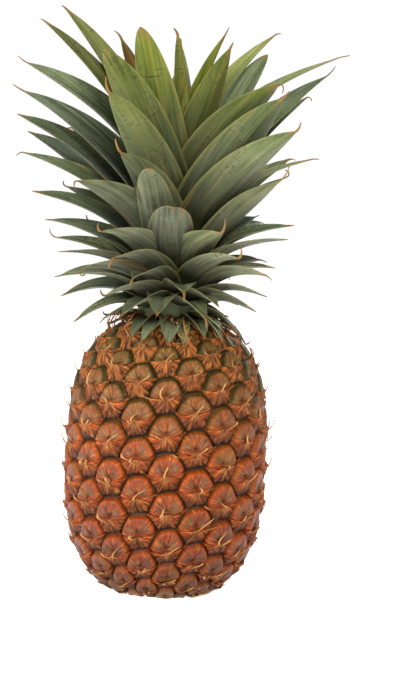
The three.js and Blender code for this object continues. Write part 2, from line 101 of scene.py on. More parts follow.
# The leaves of the front and the sides, from the top down: the tip's reading from the left
# and from the top, how far the tip lies to the front, the root's height, the blade's width,
# the root's rise over the straight line to the tip, the share of the width that a blunt tip
# keeps, the dry strand's length and turn at the tip, and how yellow the blade is.
FRONT_LEAVES = [
    (64, 9, -30, 206, 24, 19, 0, 5, -10, 0.75),
    (43, 22, -12, 203, 24, 22, 0, 5, -10, 0.7),
    (118, 31, -40, 209, 18, 7, 0, 8, -40, 1.5),
    (141, 31, 36, 207, 26, 6, 0.6, 0.3, 0, 0.5),
    (105, 53, 52, 202, 29, 17, 0.45, 0.3, 0, 0.35),
    (110, 95, 70, 196, 29, 25, 0, 10, 60, 0.3),
    (178, 40, 4, 213, 11, 3, 0.5, 6, -60, 1.25),
    (181, 42, -16, 213, 15, 3, 0, 3, 0, 0.3),
    (187, 88, 14, 211, 9, 3, 0.7, 0.3, 0, 0.5),
    (229, 31, 8, 210, 23, 14, 0, 4, 0, 0.95),
    (233, 46, 32, 208, 23, 14, 0, 4, 0, 0.5),
    (279, 35, -15, 206, 21, 32, 0, 4, -40, 0.7),
    (267, 58, -38, 205, 24, 14, 0.5, 0.3, 0, 0.2),
    (348, 57, 8, 203, 22, 44, 0, 8, -15, 0.35),
    (336, 72, -28, 200, 24, 17, 0, 8, 25, 0.1),
    (278, 87, 60, 199, 30, 35, 0.1, 8, -150, 0.3),
    (289, 95, 66, 194, 33, 17, 0, 7, 10, 0.1),
    (295, 134, 62, 189, 30, 28, 0, 7, 62, 0.15),
    (318, 159, 25, 187, 22, 41, 0, 5, -20, 0.3),
    (287, 178, 6, 185, 17, 29, 0, 6, 160, 0.3),
    (296, 173, 38, 183, 22, 17, 0, 13, 50, 0.2),
    (19, 61, -22, 199, 30, 36, 0.12, 7, 20, 0.1),
    (14, 88, -35, 196, 29, 25, 0, 9, 10, 0),
    (19, 116, -30, 192, 27, 25, 0, 3, 0, 0),
    (29, 133, -42, 189, 27, 20, 0, 3, 0, 0),
    (25, 154, -8, 186, 23, 35, 0, 5, -70, 0.1),
    (113, 148, 74, 188, 26, 39, 0, 11, 50, 0.1),
    (78, 182, 62, 184, 29, 39, 0, 6, -160, 0.1),
    (147, 170, 74, 186, 23, 14, 0.6, 0.3, 0, 0.05),
    (172, 208, 74, 182, 28, 20, 0.65, 0.3, 0, 0),
    (33, 192, -15, 182, 21, 35, 0, 3, 0, 0),
    (46, 220, -28, 178, 21, 32, 0, 3, 0, 0),
    (101, 232, 62, 178, 25, 46, 0, 6, 100, 0.1),
    (57, 238, 0, 175, 18, 35, 0, 7, 80, 0.1),
    (59, 252, 25, 173, 18, 39, 0, 3, 0, 0),
    (82, 269, 44, 171, 20, 46, 0, 8, -220, 0),
    (115, 258, 62, 174, 23, 52, 0, 9, -70, 0),
    (55, 277, 8, 170, 21, 42, 0, 3, 0, 0),
    (61, 296, -18, 167, 21, 45, 0, 3, 0, 0),
    (134, 278, 62, 171, 23, 55, 0.1, 7, -60, 0),
    (106, 296, 50, 167, 21, 52, 0, 7, 90, 0),
    (74, 322, 10, 165, 18, 55, 0, 3, 0, 0),
    (99, 322, 32, 163, 12, 67, 0, 5, -20, 0.2),
    (119, 318, 50, 165, 21, 67, 0, 3, 0, 0),
    (221, 234, 66, 179, 25, 38, 0, 11, 90, 0.35),
    (259, 216, -40, 182, 23, 22, 0, 3, 0, 0),
    (294, 226, 4, 179, 21, 38, 0, 4, 0, 0),
    (288, 240, 20, 176, 21, 39, 0, 3, 0, 0),
    (238, 259, 54, 174, 18, 41, 0, 8, 120, 0.1),
    (275, 268, 12, 172, 18, 41, 0, 3, -10, 0),
    (273, 277, 32, 170, 21, 44, 0, 6, -40, 0.1),
    (267, 297, 18, 168, 21, 51, 0, 3, 0, 0),
    (256, 312, 28, 165, 21, 61, 0, 3, 0, 0),
    (247, 308, -20, 166, 18, 52, 0, 3, 0, 0),
    (219, 307, 48, 167, 18, 55, 0, 3, 0, 0.1),
    (185, 297, 62, 169, 21, 55, 0.1, 8, -50, 0.1),
    (205, 318, 52, 165, 21, 64, 0, 7, -60, 0.1),
    (234, 328, 16, 164, 14, 72, 0, 5, -60, 0.2),
    (224, 332, 36, 163, 14, 30, 0, 4, 0, 0.3),
    (157, 316, 58, 166, 21, 67, 0.2, 2, 0, 0),
    (130, 340, 41, 163, 12, 36, 0, 2, 0, 0),
    (141, 344, 45, 163, 13, 37, 0, 2, 0, 0),
    (168, 346, 49, 163, 15, 37, 0, 2, 0, 0),
    (184, 347, 49, 162, 11, 37, 0, 2, 0, 0.4),
    (205, 339, 43, 163, 13, 35, 0, 2, 0, 0),
    (223, 341, 36, 163, 12, 35, 0, 2, 0, 0.1),
]

# The leaves of the back, from the lowest at 0 to the highest at 1.
BACK_LEAVES = 27
BACK_SIDE = (22, 136)
GOLDEN_SHARE = 0.381966
BACK_REACH = [(0, 48), (0.15, 60), (0.35, 74), (0.6, 94), (0.8, 84), (1, 44)]
BACK_TOP = [(0, 151), (0.15, 172), (0.35, 205), (0.6, 262), (0.8, 300), (1, 322)]
BACK_ROOT = [(0, 163), (0.15, 166), (0.35, 174), (0.6, 188), (0.8, 200), (1, 211)]
BACK_WIDTH = [(0, 15), (0.35, 19), (0.7, 23), (1, 19)]
BACK_ARCH = [(0, 60), (0.15, 40), (0.35, 29), (0.6, 20), (1, 8)]

# What a draw gives a leaf of the back: shares of the reach and the arch above, how far its tip
# is from the height above, and its dry strand. Past POINTED_SHARE a leaf is blunt.
REACH_SHARE, ARCH_SHARE = (0.9, 0.2), (0.8, 0.4)
TOP_SHIFT = (-4, 8)
BACK_HOOK, BACK_BEND = (3, 7), (-120, 240)
POINTED_SHARE, BACK_BLUNTNESS = 0.8, 0.4

# How finely the repeated pieces are modelled.
EYE_SECTORS = 36
EYE_RINGS = 11
BRACT_ACROSS, BRACT_DOWN = 28, 7
STRAND_LONG, STRAND_WIDE = 8, 2
LEAF_LONG, LEAF_WIDE = 30, 8
HOOK_STATIONS = 7

# What a draw is multiplied by where it starts a wave, in radians.
ANY_PHASE = 6.28


def draw(item, which):
    """A number from 0 to 1 that depends only on the item and the draw."""
    x = math.sin(item * 12.9898 + which * 78.233) * 43758.5453
    return x - math.floor(x)


def drawn(span, item, which):
    """A draw's value in a span, which is its least value and how much more it may be."""
    return span[0] + span[1] * draw(item, which)


def along(points, t):
    """The value at t on a line through (t, value) points."""
    for (t0, v0), (t1, v1) in zip(points, points[1:]):
        if t <= t1:
            return v0 + (v1 - v0) * (t - t0) / (t1 - t0)
    return points[-1][1]


def clamp(value, low=0.0, high=1.0):
    """The value, held between low and high."""
    return max(low, min(high, value))


def smooth(low, high, value):
    """From 0 at low to 1 at high, with soft ends."""
    t = clamp((value - low) / (high - low))
    return t * t * (3 - 2 * t)


def make_outline(count=600):
    """The fruit's outline from the low pole to the high pole: radii, heights and lengths."""
    radii, heights, lengths = [], [], []
    for k in range(count + 1):
        a = math.pi * k / count
        low = a < math.pi / 2
        n = LOW_ROUNDNESS if low else HIGH_ROUNDNESS
        half = WIDEST_HEIGHT - LOW_POLE if low else HIGH_POLE - WIDEST_HEIGHT
        r = FRUIT_RADIUS * max(math.sin(a), 0) ** (2 / n)
        z = WIDEST_HEIGHT - math.copysign(half * abs(math.cos(a)) ** (2 / n), math.cos(a))
        step = math.hypot(r - radii[-1], z - heights[-1]) if radii else 0
        lengths.append(lengths[-1] + step if lengths else 0)
        radii.append(r)
        heights.append(z)
    return radii, heights, lengths


RADII, HEIGHTS, LENGTHS = make_outline()
OUTLINE_LENGTH = LENGTHS[-1]


def on_outline(length):
    """The outline's radius, height and outward normal at a length along it."""
    s = clamp(length, 0, OUTLINE_LENGTH)
    k = int(clamp(bisect.bisect_left(LENGTHS, s), 1, len(LENGTHS) - 1))
    dr, dz = RADII[k] - RADII[k - 1], HEIGHTS[k] - HEIGHTS[k - 1]
    f = (s - LENGTHS[k - 1]) / max(LENGTHS[k] - LENGTHS[k - 1], 1e-9)
    step = math.hypot(dr, dz) or 1
    return RADII[k - 1] + dr * f, HEIGHTS[k - 1] + dz * f, dz / step, -dr / step


def skin(s, turn, height):
    """A point of the fruit's skin: s along the outline, turn round the axis, height above it."""
    r, z, out_r, out_z = on_outline(s)
    r += out_r * height
    return Vector((r * math.cos(turn), r * math.sin(turn), max(z + out_z * height, 0)))


def eye_places():
    """The eyes as (s, turn, real), from the base to the top, with a margin at both ends."""
    margin = UP + RIGHT

    def rise(s):
        return EYE_RISE * max(on_outline(s)[0] / FRUIT_RADIUS, 0.2) ** RISE_TAPER

    heights = [FIRST_EYE_AT]
    while heights[-1] < OUTLINE_LENGTH - LAST_EYE_FROM_TOP:
        heights.append(heights[-1] + rise(heights[-1]))
    first, last = heights[0], heights[-1]
    before = [first - (margin - k) * rise(first) for k in range(margin)]
    after = [last + (k + 1) * rise(last) for k in range(margin)]
    return [
        (s, math.radians(FIRST_EYE_TURN - (k - margin) * EYE_TURN), margin <= k < margin + len(heights))
        for k, s in enumerate(before + heights + after)
    ]


EYES = eye_places()


# The dome's outline from the navel: a rounded shape, in the eye's own x and y.
DOME_WIDE = 0.86
DOME_TALL = 0.84
DOME_SQUARE = 2.0
DOME_LIMIT, WAVED_LIMIT, LEAST_DOME = 0.9, 0.92, 0.1
DOME_WAVES = [(2, 0.035), (3, 0.028), (7, 0.016)]

# The bract's upper rim: its height at the middle, and its rise and curve toward the wings.
RIM_MIDDLE = -0.24
RIM_RISE = 0.26
RIM_CURVE = 1.8
RIM_GAP = 0.02


class Eye:
    """One eye's own place: its border, and points inside it by x across and y up."""

    NAVEL = (0.0, 0.06)
    SIDES = 6

    def __init__(self, n):
        self.n = n
        self.s, self.turn, _ = EYES[n]
        self.half = (EYES[n + UP][0] - self.s) / 2
        self.wide = (self.to(n + RIGHT) - self.to(n + LEFT)) / 3
        self.skew = (EYES[n + RIGHT][0] + EYES[n - LEFT][0] - 2 * self.s) / 3
        self.border = self.round_border()

    def to(self, other):
        """The short way round from this eye to another."""
        return (EYES[other][1] - self.turn + math.pi) % (2 * math.pi) - math.pi

    def meeting(self, others):
        """The middle between this eye and others, in x and y."""
        count = len(others) + 1
        turn = sum(self.to(m) for m in others) / count
        s = (self.s + sum(EYES[m][0] for m in others)) / count
        return self.local(s, turn)

    def local(self, s, turn):
        """A place on the skin, in x and y."""
        x = turn / self.wide
        return x, (s - self.s - x * self.skew) / self.half

    def round_border(self):
        """The border from the left corner over the top, and back under, as x and y."""
        n = self.n
        around = [n - RIGHT, n + LEFT, n + UP, n + RIGHT, n - LEFT, n - UP, n - RIGHT]
        corners = [self.meeting([a, b]) for a, b in zip(around, around[1:])]
        corners.append(corners[0])
        steps = EYE_SECTORS // self.SIDES
        points = []
        for k in range(self.SIDES):
            (ax, ay), (bx, by) = corners[k], corners[k + 1]
            other = around[k + 1]
            mx, my = self.meeting([other])
            low = min(n, other)
            my += BORDER_ARCH * (EYES[low + UP][0] - EYES[low][0]) / self.half
            for q in range(steps):
                t = q / steps
                wa, wm, wb = (1 - t) * (1 - 2 * t), 4 * t * (1 - t), t * (2 * t - 1)
                points.append((ax * wa + mx * wm + bx * wb, ay * wa + my * wm + by * wb))
        return points

    def at(self, x, y, height):
        """The point at x and y, a height above the skin."""
        return skin(self.s + y * self.half + x * self.skew, self.turn + x * self.wide, height)


def rim_line(x):
    """How high the bract's upper rim runs across the eye."""
    return RIM_MIDDLE + RIM_RISE * abs(x) ** RIM_CURVE


def dome_edge(eye):
    """How far the dome reaches from the navel toward each border point, as a share."""
    cx, cy = Eye.NAVEL
    count = len(eye.border)
    seeds = [draw(eye.n, k) * 2 * math.pi for k in (14, 15, 16)]
    shares = []
    for k, (bx, by) in enumerate(eye.border):
        a = 2 * math.pi * k / count
        reach = math.hypot(bx - cx, by - cy)
        round_x, round_y = abs(bx - cx) / reach / DOME_WIDE, abs(by - cy) / reach / DOME_TALL
        radius = (round_x**DOME_SQUARE + round_y**DOME_SQUARE) ** (-1 / DOME_SQUARE)
        share = min(radius / reach, DOME_LIMIT)
        share += sum(deep * math.sin(waves * a + seed) for (waves, deep), seed in zip(DOME_WAVES, seeds))
        share = min(share, WAVED_LIMIT)
        # The dome stops short of the bract's rim
        while share > LEAST_DOME and cy + (by - cy) * share < rim_line(cx + (bx - cx) * share) - RIM_GAP:
            share -= RIM_GAP
        shares.append(share)
    weights = ((-1, 1), (0, 3), (1, 1))
    return [sum(w * shares[(k + d) % count] for d, w in weights) / 5 for k in range(count)]


def deselect():
    """Leaves edit mode with nothing selected."""
    if bpy.context.mode != "OBJECT":
        bpy.ops.object.mode_set(mode="OBJECT")
    bpy.ops.object.select_all(action="DESELECT")


def take(blank):
    """The blank's corners and faces as plain lists, and the blank is removed."""
    mesh = blank.data
    corners = [v.co.copy() for v in mesh.vertices]
    faces = [tuple(p.vertices) for p in mesh.polygons]
    bpy.data.objects.remove(blank)
    bpy.data.meshes.remove(mesh)
    return corners, faces


def eye_blank():
    """A round disc of rings that every eye is shaped from: corners as (ring, sector)."""
    deselect()
    bpy.ops.mesh.primitive_circle_add(vertices=EYE_SECTORS, radius=1, fill_type="NGON")
    blank = bpy.context.object
    bpy.ops.object.mode_set(mode="EDIT")
    bpy.ops.mesh.select_all(action="SELECT")
    step = math.cos(math.pi / EYE_SECTORS) / EYE_RINGS
    for _ in range(EYE_RINGS - 1):
        bpy.ops.mesh.inset(thickness=step)
    bpy.ops.mesh.poke()
    bpy.ops.object.mode_set(mode="OBJECT")
    corners, faces = take(blank)
    keys = []
    for c in corners:
        ring = round((1 - math.hypot(c.x, c.y)) * EYE_RINGS)
        sector = round(math.degrees(math.atan2(c.y, c.x)) / (360 / EYE_SECTORS)) % EYE_SECTORS
        keys.append((ring, sector))
    return keys, faces


def sheet_blank(long, wide):
    """A flat closed sheet: corners as (steps along, steps across, 1 on top or 0 under)."""
    deselect()
    bpy.ops.mesh.primitive_grid_add(x_subdivisions=long, y_subdivisions=wide, size=2)
    blank = bpy.context.object
    wall = blank.modifiers.new("wall", "SOLIDIFY")
    wall.thickness = 0.2
    wall.offset = 0
    wall.use_even_offset = False
    bpy.ops.object.modifier_apply(modifier="wall")
    corners, faces = take(blank)
    keys = [
        (round((c.x + 1) / 2 * long), round((c.y + 1) / 2 * wide), 1 if c.z > 0 else 0)
        for c in corners
    ]
    return keys, faces


class Pile:
    """Copies of a blank, gathered into one piece with their own marks for the material."""

    def __init__(self):
        self.points, self.faces, self.places, self.marks, self.items = [], [], [], [], []

    def copy(self, faces, points, places, marks, item):
        """Adds one copy of the blank's faces at the given points."""
        start = len(self.points)
        self.points += [p * MM for p in points]
        self.faces += [tuple(start + v for v in face) for face in faces]
        self.places += places
        self.marks += marks
        self.items += [item] * len(points)

    def piece(self, name, merge=0.0):
        """The copies as one object, with corners closer than merge joined."""
        mesh = bpy.data.meshes.new(name)
        mesh.from_pydata(self.points, [], self.faces)
        places = mesh.uv_layers.new(name="place")
        loop_corner = [loop.vertex_index for loop in mesh.loops]
        places.data.foreach_set("uv", [c for v in loop_corner for c in self.places[v]])
        marks = mesh.attributes.new("marks", "FLOAT_COLOR", "POINT")
        marks.data.foreach_set("color", [c for mark in self.marks for c in mark])
        items = mesh.attributes.new("item", "FLOAT", "POINT")
        items.data.foreach_set("value", self.items)
        piece = bpy.data.objects.new(name, mesh)
        bpy.context.collection.objects.link(piece)
        pick(piece)
        bpy.ops.object.mode_set(mode="EDIT")
        bpy.ops.mesh.select_all(action="SELECT")
        if merge:
            bpy.ops.mesh.remove_doubles(threshold=merge)
        bpy.ops.mesh.normals_make_consistent(inside=False)
        bpy.ops.object.mode_set(mode="OBJECT")
        return piece


def pick(piece):
    """Makes the piece the only one selected."""
    deselect()
    bpy.context.view_layer.objects.active = piece
    piece.select_set(True)


def finish(piece, material, node, angle):
    """Smooths the piece below an angle in degrees, dresses it and ties it to its solid."""
    pick(piece)
    bpy.ops.object.shade_smooth_by_angle(angle=math.radians(angle))
    piece.data.materials.clear()
    piece.data.materials.append(material)
    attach(piece, "root")
    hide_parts(node)


# Heights over the groove by ring, from the border to the dome's edge and on to the navel, for
# a dome of DRAWN_HEIGHT, and how much of that height a draw gives an eye.
OUTER_SHARES = [0, 0.4, 0.75, 1]
OUTER_HEIGHTS = [0, 0.15, 0.9, 1.9]
OUTER_LOW_HEIGHTS = [0, 0.35, 0.9, 2.0]
INNER_SHARES = [0.05, 0.13, 0.26, 0.42, 0.6, 0.78, 0.92, 1]
INNER_HEIGHTS = [2.75, 3.15, 3.25, 3.1, 2.85, 2.4, 1.8, 1.3]
DRAWN_HEIGHT = 3.1
DOME_SHARE = (0.88, 0.24)

# The dome's lobes and the creases between them, in degrees round the navel, and how far they
# and the fine ribs move the surface. Two creases lie TOP_CREASE from its top.
LOBES, LOBE_WIDTH, LOBE_RISE = (20, 160), 36, 0.3
LOBE_TURN = (-8, 16)
SIDE_CREASES, SIDE_CREASE_SHARE = (4, 176), 0.7
TOP_CREASE = (14, 26)
CREASE_WIDTH, CREASE_DEPTH = 8, 0.3
RIBS, RIB_RISE = 11, 0.1

# Where the dome's lower side begins, right and left, in degrees round the navel.
BELOW_RIGHT, BELOW_LEFT = (-10, -50), (-170, -130)


def crease(angle, middle, width):
    """1 at the middle of a crease and 0 away from it, by angle in degrees."""
    return math.exp(-(((angle - middle) / width) ** 2))


def eye_surface(eye, keys, dome_height):
    """The eye's points, places and marks (groove, rim, lobe, navel) for the blank's corners."""
    cx, cy = Eye.NAVEL
    edge = dome_edge(eye)
    tall = dome_height / DRAWN_HEIGHT * drawn(DOME_SHARE, eye.n, 11)
    turned = drawn(LOBE_TURN, eye.n, 17)
    split = drawn(TOP_CREASE, eye.n, 18)
    ribs = 2 * math.pi * draw(eye.n, 19)
    points, places, marks = [], [], []
    for ring, sector in keys:
        bx, by = eye.border[sector]
        angle = math.degrees(math.atan2(by - cy, bx - cx))
        below = smooth(*BELOW_RIGHT, angle) * smooth(*BELOW_LEFT, angle)
        side = sum(crease(angle, lobe + turned, LOBE_WIDTH) for lobe in LOBES)
        fold = sum(crease(angle, 90 + way * split + turned, CREASE_WIDTH) for way in (-1, 1))
        fold += sum(SIDE_CREASE_SHARE * crease(angle, at + turned, CREASE_WIDTH) for at in SIDE_CREASES)
        rib = math.sin(math.radians(angle) * RIBS + ribs)
        if ring < len(OUTER_SHARES):
            f = OUTER_SHARES[ring]
            share = 1 + (edge[sector] - 1) * f
            height = OUTER_HEIGHTS[ring] * (1 - below) + OUTER_LOW_HEIGHTS[ring] * below
            mark = (1 - smooth(0.15, 0.8, f), smooth(0.6, 1, f), 0, 0)
        else:
            g = INNER_SHARES[ring - len(OUTER_SHARES)]
            share = edge[sector] * (1 - g)
            bump = math.sin(math.pi * clamp((g - 0.1) / 0.85))
            height = INNER_HEIGHTS[ring - len(OUTER_SHARES)]
            height += bump * (LOBE_RISE * side - CREASE_DEPTH * fold + RIB_RISE * rib)
            lobe = smooth(0.1, 0.38, g) * min(side + 0.2, 1) * (1 - 0.6 * min(fold, 1))
            mark = (0, 1 - smooth(0.05, 0.3, g), lobe, smooth(0.8, 1, g))
        x, y = cx + (bx - cx) * share, cy + (by - cy) * share
        points.append(eye.at(x, y, height * tall))
        places.append((x, y))
        marks.append(mark)
    return points, places, marks


def close_hole(piece, top):
    """Closes the open loop at one end: over the crown's seat, or into the stalk's socket."""
    pick(piece)
    mesh = piece.data
    bpy.ops.object.mode_set(mode="EDIT")
    bpy.ops.mesh.select_mode(type="VERT")
    bpy.ops.mesh.select_all(action="DESELECT")
    bpy.ops.mesh.select_non_manifold()
    bpy.ops.object.mode_set(mode="OBJECT")
    for v in mesh.vertices:
        v.select = v.select and (v.co.z > WIDEST_HEIGHT * MM) == top
    seat = [(SEAT_RADIUS, FRUIT_HEIGHT - SEAT_SINK)]
    rings = seat if top else [(STALK_SOCKET, 0), (STALK_SOCKET, STALK_DEPTH)]
    for radius, z in rings:
        bpy.ops.object.mode_set(mode="EDIT")
        bpy.ops.mesh.extrude_region_move()
        bpy.ops.object.mode_set(mode="OBJECT")
        for v in mesh.vertices:
            if v.select:
                r = math.hypot(v.co.x, v.co.y)
                v.co.x *= radius * MM / r
                v.co.y *= radius * MM / r
                v.co.z = z * MM
    bpy.ops.object.mode_set(mode="EDIT")
    bpy.ops.mesh.merge(type="CENTER")
    bpy.ops.mesh.select_all(action="SELECT")
    bpy.ops.mesh.normals_make_consistent(inside=False)
    bpy.ops.object.mode_set(mode="OBJECT")


def real_eyes():
    """The eyes of the fruit itself, without those past its ends."""
    return [Eye(n) for n in range(UP, len(EYES) - UP) if EYES[n][2]]


def rind(settings):
    """The rind: every eye's dome and groove in one closed skin."""
    keys, faces = eye_blank()
    pile = Pile()
    for eye in real_eyes():
        points, places, marks = eye_surface(eye, keys, settings.dome_height / MM)
        pile.copy(faces, points, places, marks, draw(eye.n, 12))
    piece = pile.piece("fruit_rind", merge=0.02 * MM)
    close_hole(piece, True)
    close_hole(piece, False)
    finish(piece, rind_material(), "fruit", 70)


# The bract, in shares of its eye: how far it reaches, and its rim's peak, wings and ripple.
BRACT_REACH = (1.06, 0.08)
PEAK_RISE, PEAK_WIDTH = 0.12, 0.16
WING_RISE = 0.06
RIPPLE = 0.02

# The bract's heights: at its foot, at the rim's ends and middle, its folds, its keel and wall.
BRACT_FOOT = 0.3
BRACT_ENDS, BRACT_CROWNING = 1.5, 2.1
FOLD_RISE = 0.6
KEEL_RISE, KEEL_WIDTH = 0.5, 0.22
BRACT_WALL = 0.7


def bract_surface(eye, keys):
    """The bract's points, places and marks (down, side, top) for the blank's corners."""
    low = list(reversed(eye.border[EYE_SECTORS // 2:] + [eye.border[0]]))
    seed = draw(eye.n, 21) * ANY_PHASE
    reach = drawn(BRACT_REACH, eye.n, 22)
    points, places, marks = [], [], []
    for down, across, top in keys:
        u = 2 * across / BRACT_ACROSS - 1
        v = down / BRACT_DOWN
        # From the rim, at v of 0, down to the eye's lower border, at 1
        place = (u + 1) / 2 * (len(low) - 1)
        k = min(int(place), len(low) - 2)
        (ax, ay), (bx, by) = low[k], low[k + 1]
        lx, ly = ax + (bx - ax) * (place - k), ay + (by - ay) * (place - k)
        rx = u * reach
        ry = rim_line(u) + PEAK_RISE * math.exp(-((u / PEAK_WIDTH) ** 2)) + WING_RISE * abs(u) ** 4
        ry += RIPPLE * math.sin(u * 9 + seed)
        x, y = rx + (lx - rx) * v, ry + (ly - ry) * v
        height = (BRACT_ENDS + BRACT_CROWNING * (1 - abs(u) ** 2)) * (1 - v) ** 0.6 + BRACT_FOOT
        # Folds fan out from the tip at the middle of the rim
        angle = math.atan2(x, PEAK_RISE - (y - RIM_MIDDLE))
        folds = math.sin(angle * 8 + seed) + 0.7 * math.sin(angle * 15 + 2 * seed)
        height += FOLD_RISE * folds * math.sin(math.pi * clamp(v, 0.04, 0.96)) ** 0.5
        height += KEEL_RISE * math.exp(-((u / KEEL_WIDTH) ** 2)) * (1 - v) ** 2
        points.append(eye.at(x, y, height - (0 if top else BRACT_WALL)))
        places.append((x, y - RIM_MIDDLE))
        marks.append((v, abs(u), top, 0))
    return points, places, marks


def bracts():
    """The papery bract under every dome, with its winged rim over the grooves beside it."""
    keys, faces = sheet_blank(BRACT_DOWN, BRACT_ACROSS)
    pile = Pile()
    for eye in real_eyes():
        points, places, marks = bract_surface(eye, keys)
        pile.copy(faces, points, places, marks, draw(eye.n, 12))
    finish(pile.piece("fruit_bracts"), bract_material(), "fruit", 60)


# The dry strands: half widths at the root and the end, how much wider a root is on the
# shoulder, the wall at the root and how much of it is lost at the end, the height they start
# at, and the half width of an eye, by which widths become shares of x.
STRAND_ROOT, STRAND_END, SHOULDER_WIDENING = 0.6, 0.22, 0.5
STRAND_WALL, STRAND_THINNING = 0.7, 0.3
STRAND_START_HEIGHT = 3.3
EYE_HALF_WIDTH = 11.5

# What a draw gives a strand: its lean over the dome and to a side, its length, its rise, the
# arc that it rises through and its curl. The strands beside the first have shares of its lean
# and length, and their own lean to a side.
STRAND_LEAN, STRAND_SIDEWAYS, STRAND_LENGTH = (0.42, 0.25), (-0.25, 0.5), (0.55, 0.6)
STRAND_RISE, STRAND_ARC, STRAND_CURL = (0.2, 0.75), (1.1, 0.9), (0.12, 0.18)
BESIDE_LEAN, BESIDE_SIDEWAYS, BESIDE_LENGTH = (0.2, 0.7), (-0.65, 1.3), (0.5, 0.4)

# From the top of the outline: where the shoulder begins, with its more and longer strands, and
# where it is full.
SHOULDER_BEGIN, SHOULDER_FULL = 62, 36
SHOULDER_LENGTHENING = 0.5


def on_shoulder(eye):
    """How far up the fruit's shoulder the eye is, from 0 to 1."""
    return smooth(OUTLINE_LENGTH - SHOULDER_BEGIN, OUTLINE_LENGTH - SHOULDER_FULL, eye.s)


def strand(eye, keys, spine_length, which):
    """The dry tip of a bract: a narrow curling strand that leans over the dome."""
    n = eye.n
    lean = drawn(STRAND_LEAN, n, 1)
    sideways = drawn(STRAND_SIDEWAYS, n, 2)
    # It is shorter near both ends of the fruit, but not on the shoulder
    shoulder = on_shoulder(eye)
    from_end = min(eye.s, OUTLINE_LENGTH - eye.s)
    fade = max(clamp(from_end / SPINE_FADE - 0.4, 0.3, 1), shoulder)
    length = spine_length * drawn(STRAND_LENGTH, n, 3) * fade * (1 + SHOULDER_LENGTHENING * shoulder)
    k = n + 1000 * which
    if which:
        # The strands beside the first are shorter and spread more
        lean *= drawn(BESIDE_LEAN, k, 36)
        sideways = drawn(BESIDE_SIDEWAYS, k, 37)
        length *= drawn(BESIDE_LENGTH, k, 38)
    rise = drawn(STRAND_RISE, k, 31)
    twist = 2 * math.pi * draw(k, 32)
    curl = drawn(STRAND_CURL, k, 39)
    arc = drawn(STRAND_ARC, k, 34)
    root = STRAND_ROOT + SHOULDER_WIDENING * shoulder
    points, places, marks = [], [], []
    for step, across, top in keys:
        t = step / STRAND_LONG
        u = across - STRAND_WIDE / 2
        half_width = (root * (1 - t) ** 1.6 + STRAND_END) / EYE_HALF_WIDTH
        x = 1.5 * sideways * t + curl * (math.sin(3.4 * t + twist) - math.sin(twist)) + u * half_width
        y = RIM_MIDDLE - 0.1 + (0.14 + 1.35 * lean * length / eye.half) * t
        y += 0.08 * (math.cos(3.2 * t + twist) - math.cos(twist)) * t
        height = STRAND_START_HEIGHT + length * rise * math.sin(t * arc)
        height += 0.4 * u * u * (1 - t) - (0 if top else STRAND_WALL - STRAND_THINNING * t)
        points.append(eye.at(x, y, height))
        places.append((u, t))
        marks.append((t, abs(u), top, 0))
    return points, places, marks


def strands(settings):
    """The dry strands at the tip of every bract: one to three, and up to five on the shoulder."""
    keys, faces = sheet_blank(STRAND_LONG, STRAND_WIDE)
    pile = Pile()
    for eye in real_eyes():
        for which in range(1 + int(3 * draw(eye.n, 35) + 2 * on_shoulder(eye))):
            points, places, marks = strand(eye, keys, settings.spine_length / MM, which)
            pile.copy(faces, points, places, marks, draw(eye.n, 12))
    finish(pile.piece("fruit_spines"), strand_material(), "fruit", 60)


def front_leaf(row):
    """A leaf of the front or the sides, from one row of readings."""
    left, top, forward, root, width, arch, blunt, hook, bend, yellow = row
    shrink = VIEW_STEP * (VIEW_DISTANCE - forward * math.cos(VIEW_ABOVE)) / VIEW_DISTANCE
    across = VIEW_ACROSS + (left - VIEW_LEFT) * shrink
    up = VIEW_UP + ((VIEW_TOP - top) * shrink + forward * math.sin(VIEW_ABOVE)) / math.cos(VIEW_ABOVE)
    x = across * math.cos(VIEW_LEAN) - up * math.sin(VIEW_LEAN)
    z = across * math.sin(VIEW_LEAN) + up * math.cos(VIEW_LEAN)
    return Vector((x, -forward, z)), root, width, arch, blunt, hook, bend, yellow


def back_leaf(k):
    """Leaf k of the back, spaced by the golden angle."""
    t = (k + 0.5) / BACK_LEAVES
    turn = math.radians(BACK_SIDE[0] + BACK_SIDE[1] * ((k * GOLDEN_SHARE) % 1))
    reach = along(BACK_REACH, t) * drawn(REACH_SHARE, k, 4)
    up = along(BACK_TOP, t) + drawn(TOP_SHIFT, k, 5)
    tip = Vector((reach * math.cos(turn), reach * math.sin(turn), up))
    blunt = BACK_BLUNTNESS if draw(k, 7) > POINTED_SHARE else 0
    hook, bend = drawn(BACK_HOOK, k, 8), drawn(BACK_BEND, k, 9)
    arch = along(BACK_ARCH, t) * drawn(ARCH_SHARE, k, 6)
    yellow = 0.5 * t * draw(k, 10)
    return tip, along(BACK_ROOT, t), along(BACK_WIDTH, t), arch, blunt, hook, bend, yellow


# The ring of small dead scales that closes the crown's foot: how many, where they root, what a
# draw gives their tips' reach and height, their width, arch and dry strand, and their mark as
# dead.
DEAD_SCALES = 40
SCALE_ROOT = 161.5
SCALE_REACH, SCALE_TOP = (28, 12), (159, 8)
SCALE_WIDTH, SCALE_ARCH = (6, 5), (10, 30)
SCALE_HOOK, SCALE_BEND = (1, 4), (-60, 200)
DEAD = 2


def dead_scale(k):
    """Small dead scale k of the ring that closes the crown's foot."""
    turn = 2 * math.pi * ((k * GOLDEN_SHARE) % 1)
    reach = drawn(SCALE_REACH, k, 51)
    tip = Vector((reach * math.cos(turn), reach * math.sin(turn), drawn(SCALE_TOP, k, 52)))
    width, arch = drawn(SCALE_WIDTH, k, 53), drawn(SCALE_ARCH, k, 56)
    hook, bend = drawn(SCALE_HOOK, k, 54), drawn(SCALE_BEND, k, 55)
    return tip, SCALE_ROOT, width, arch, 0, hook, bend, DEAD


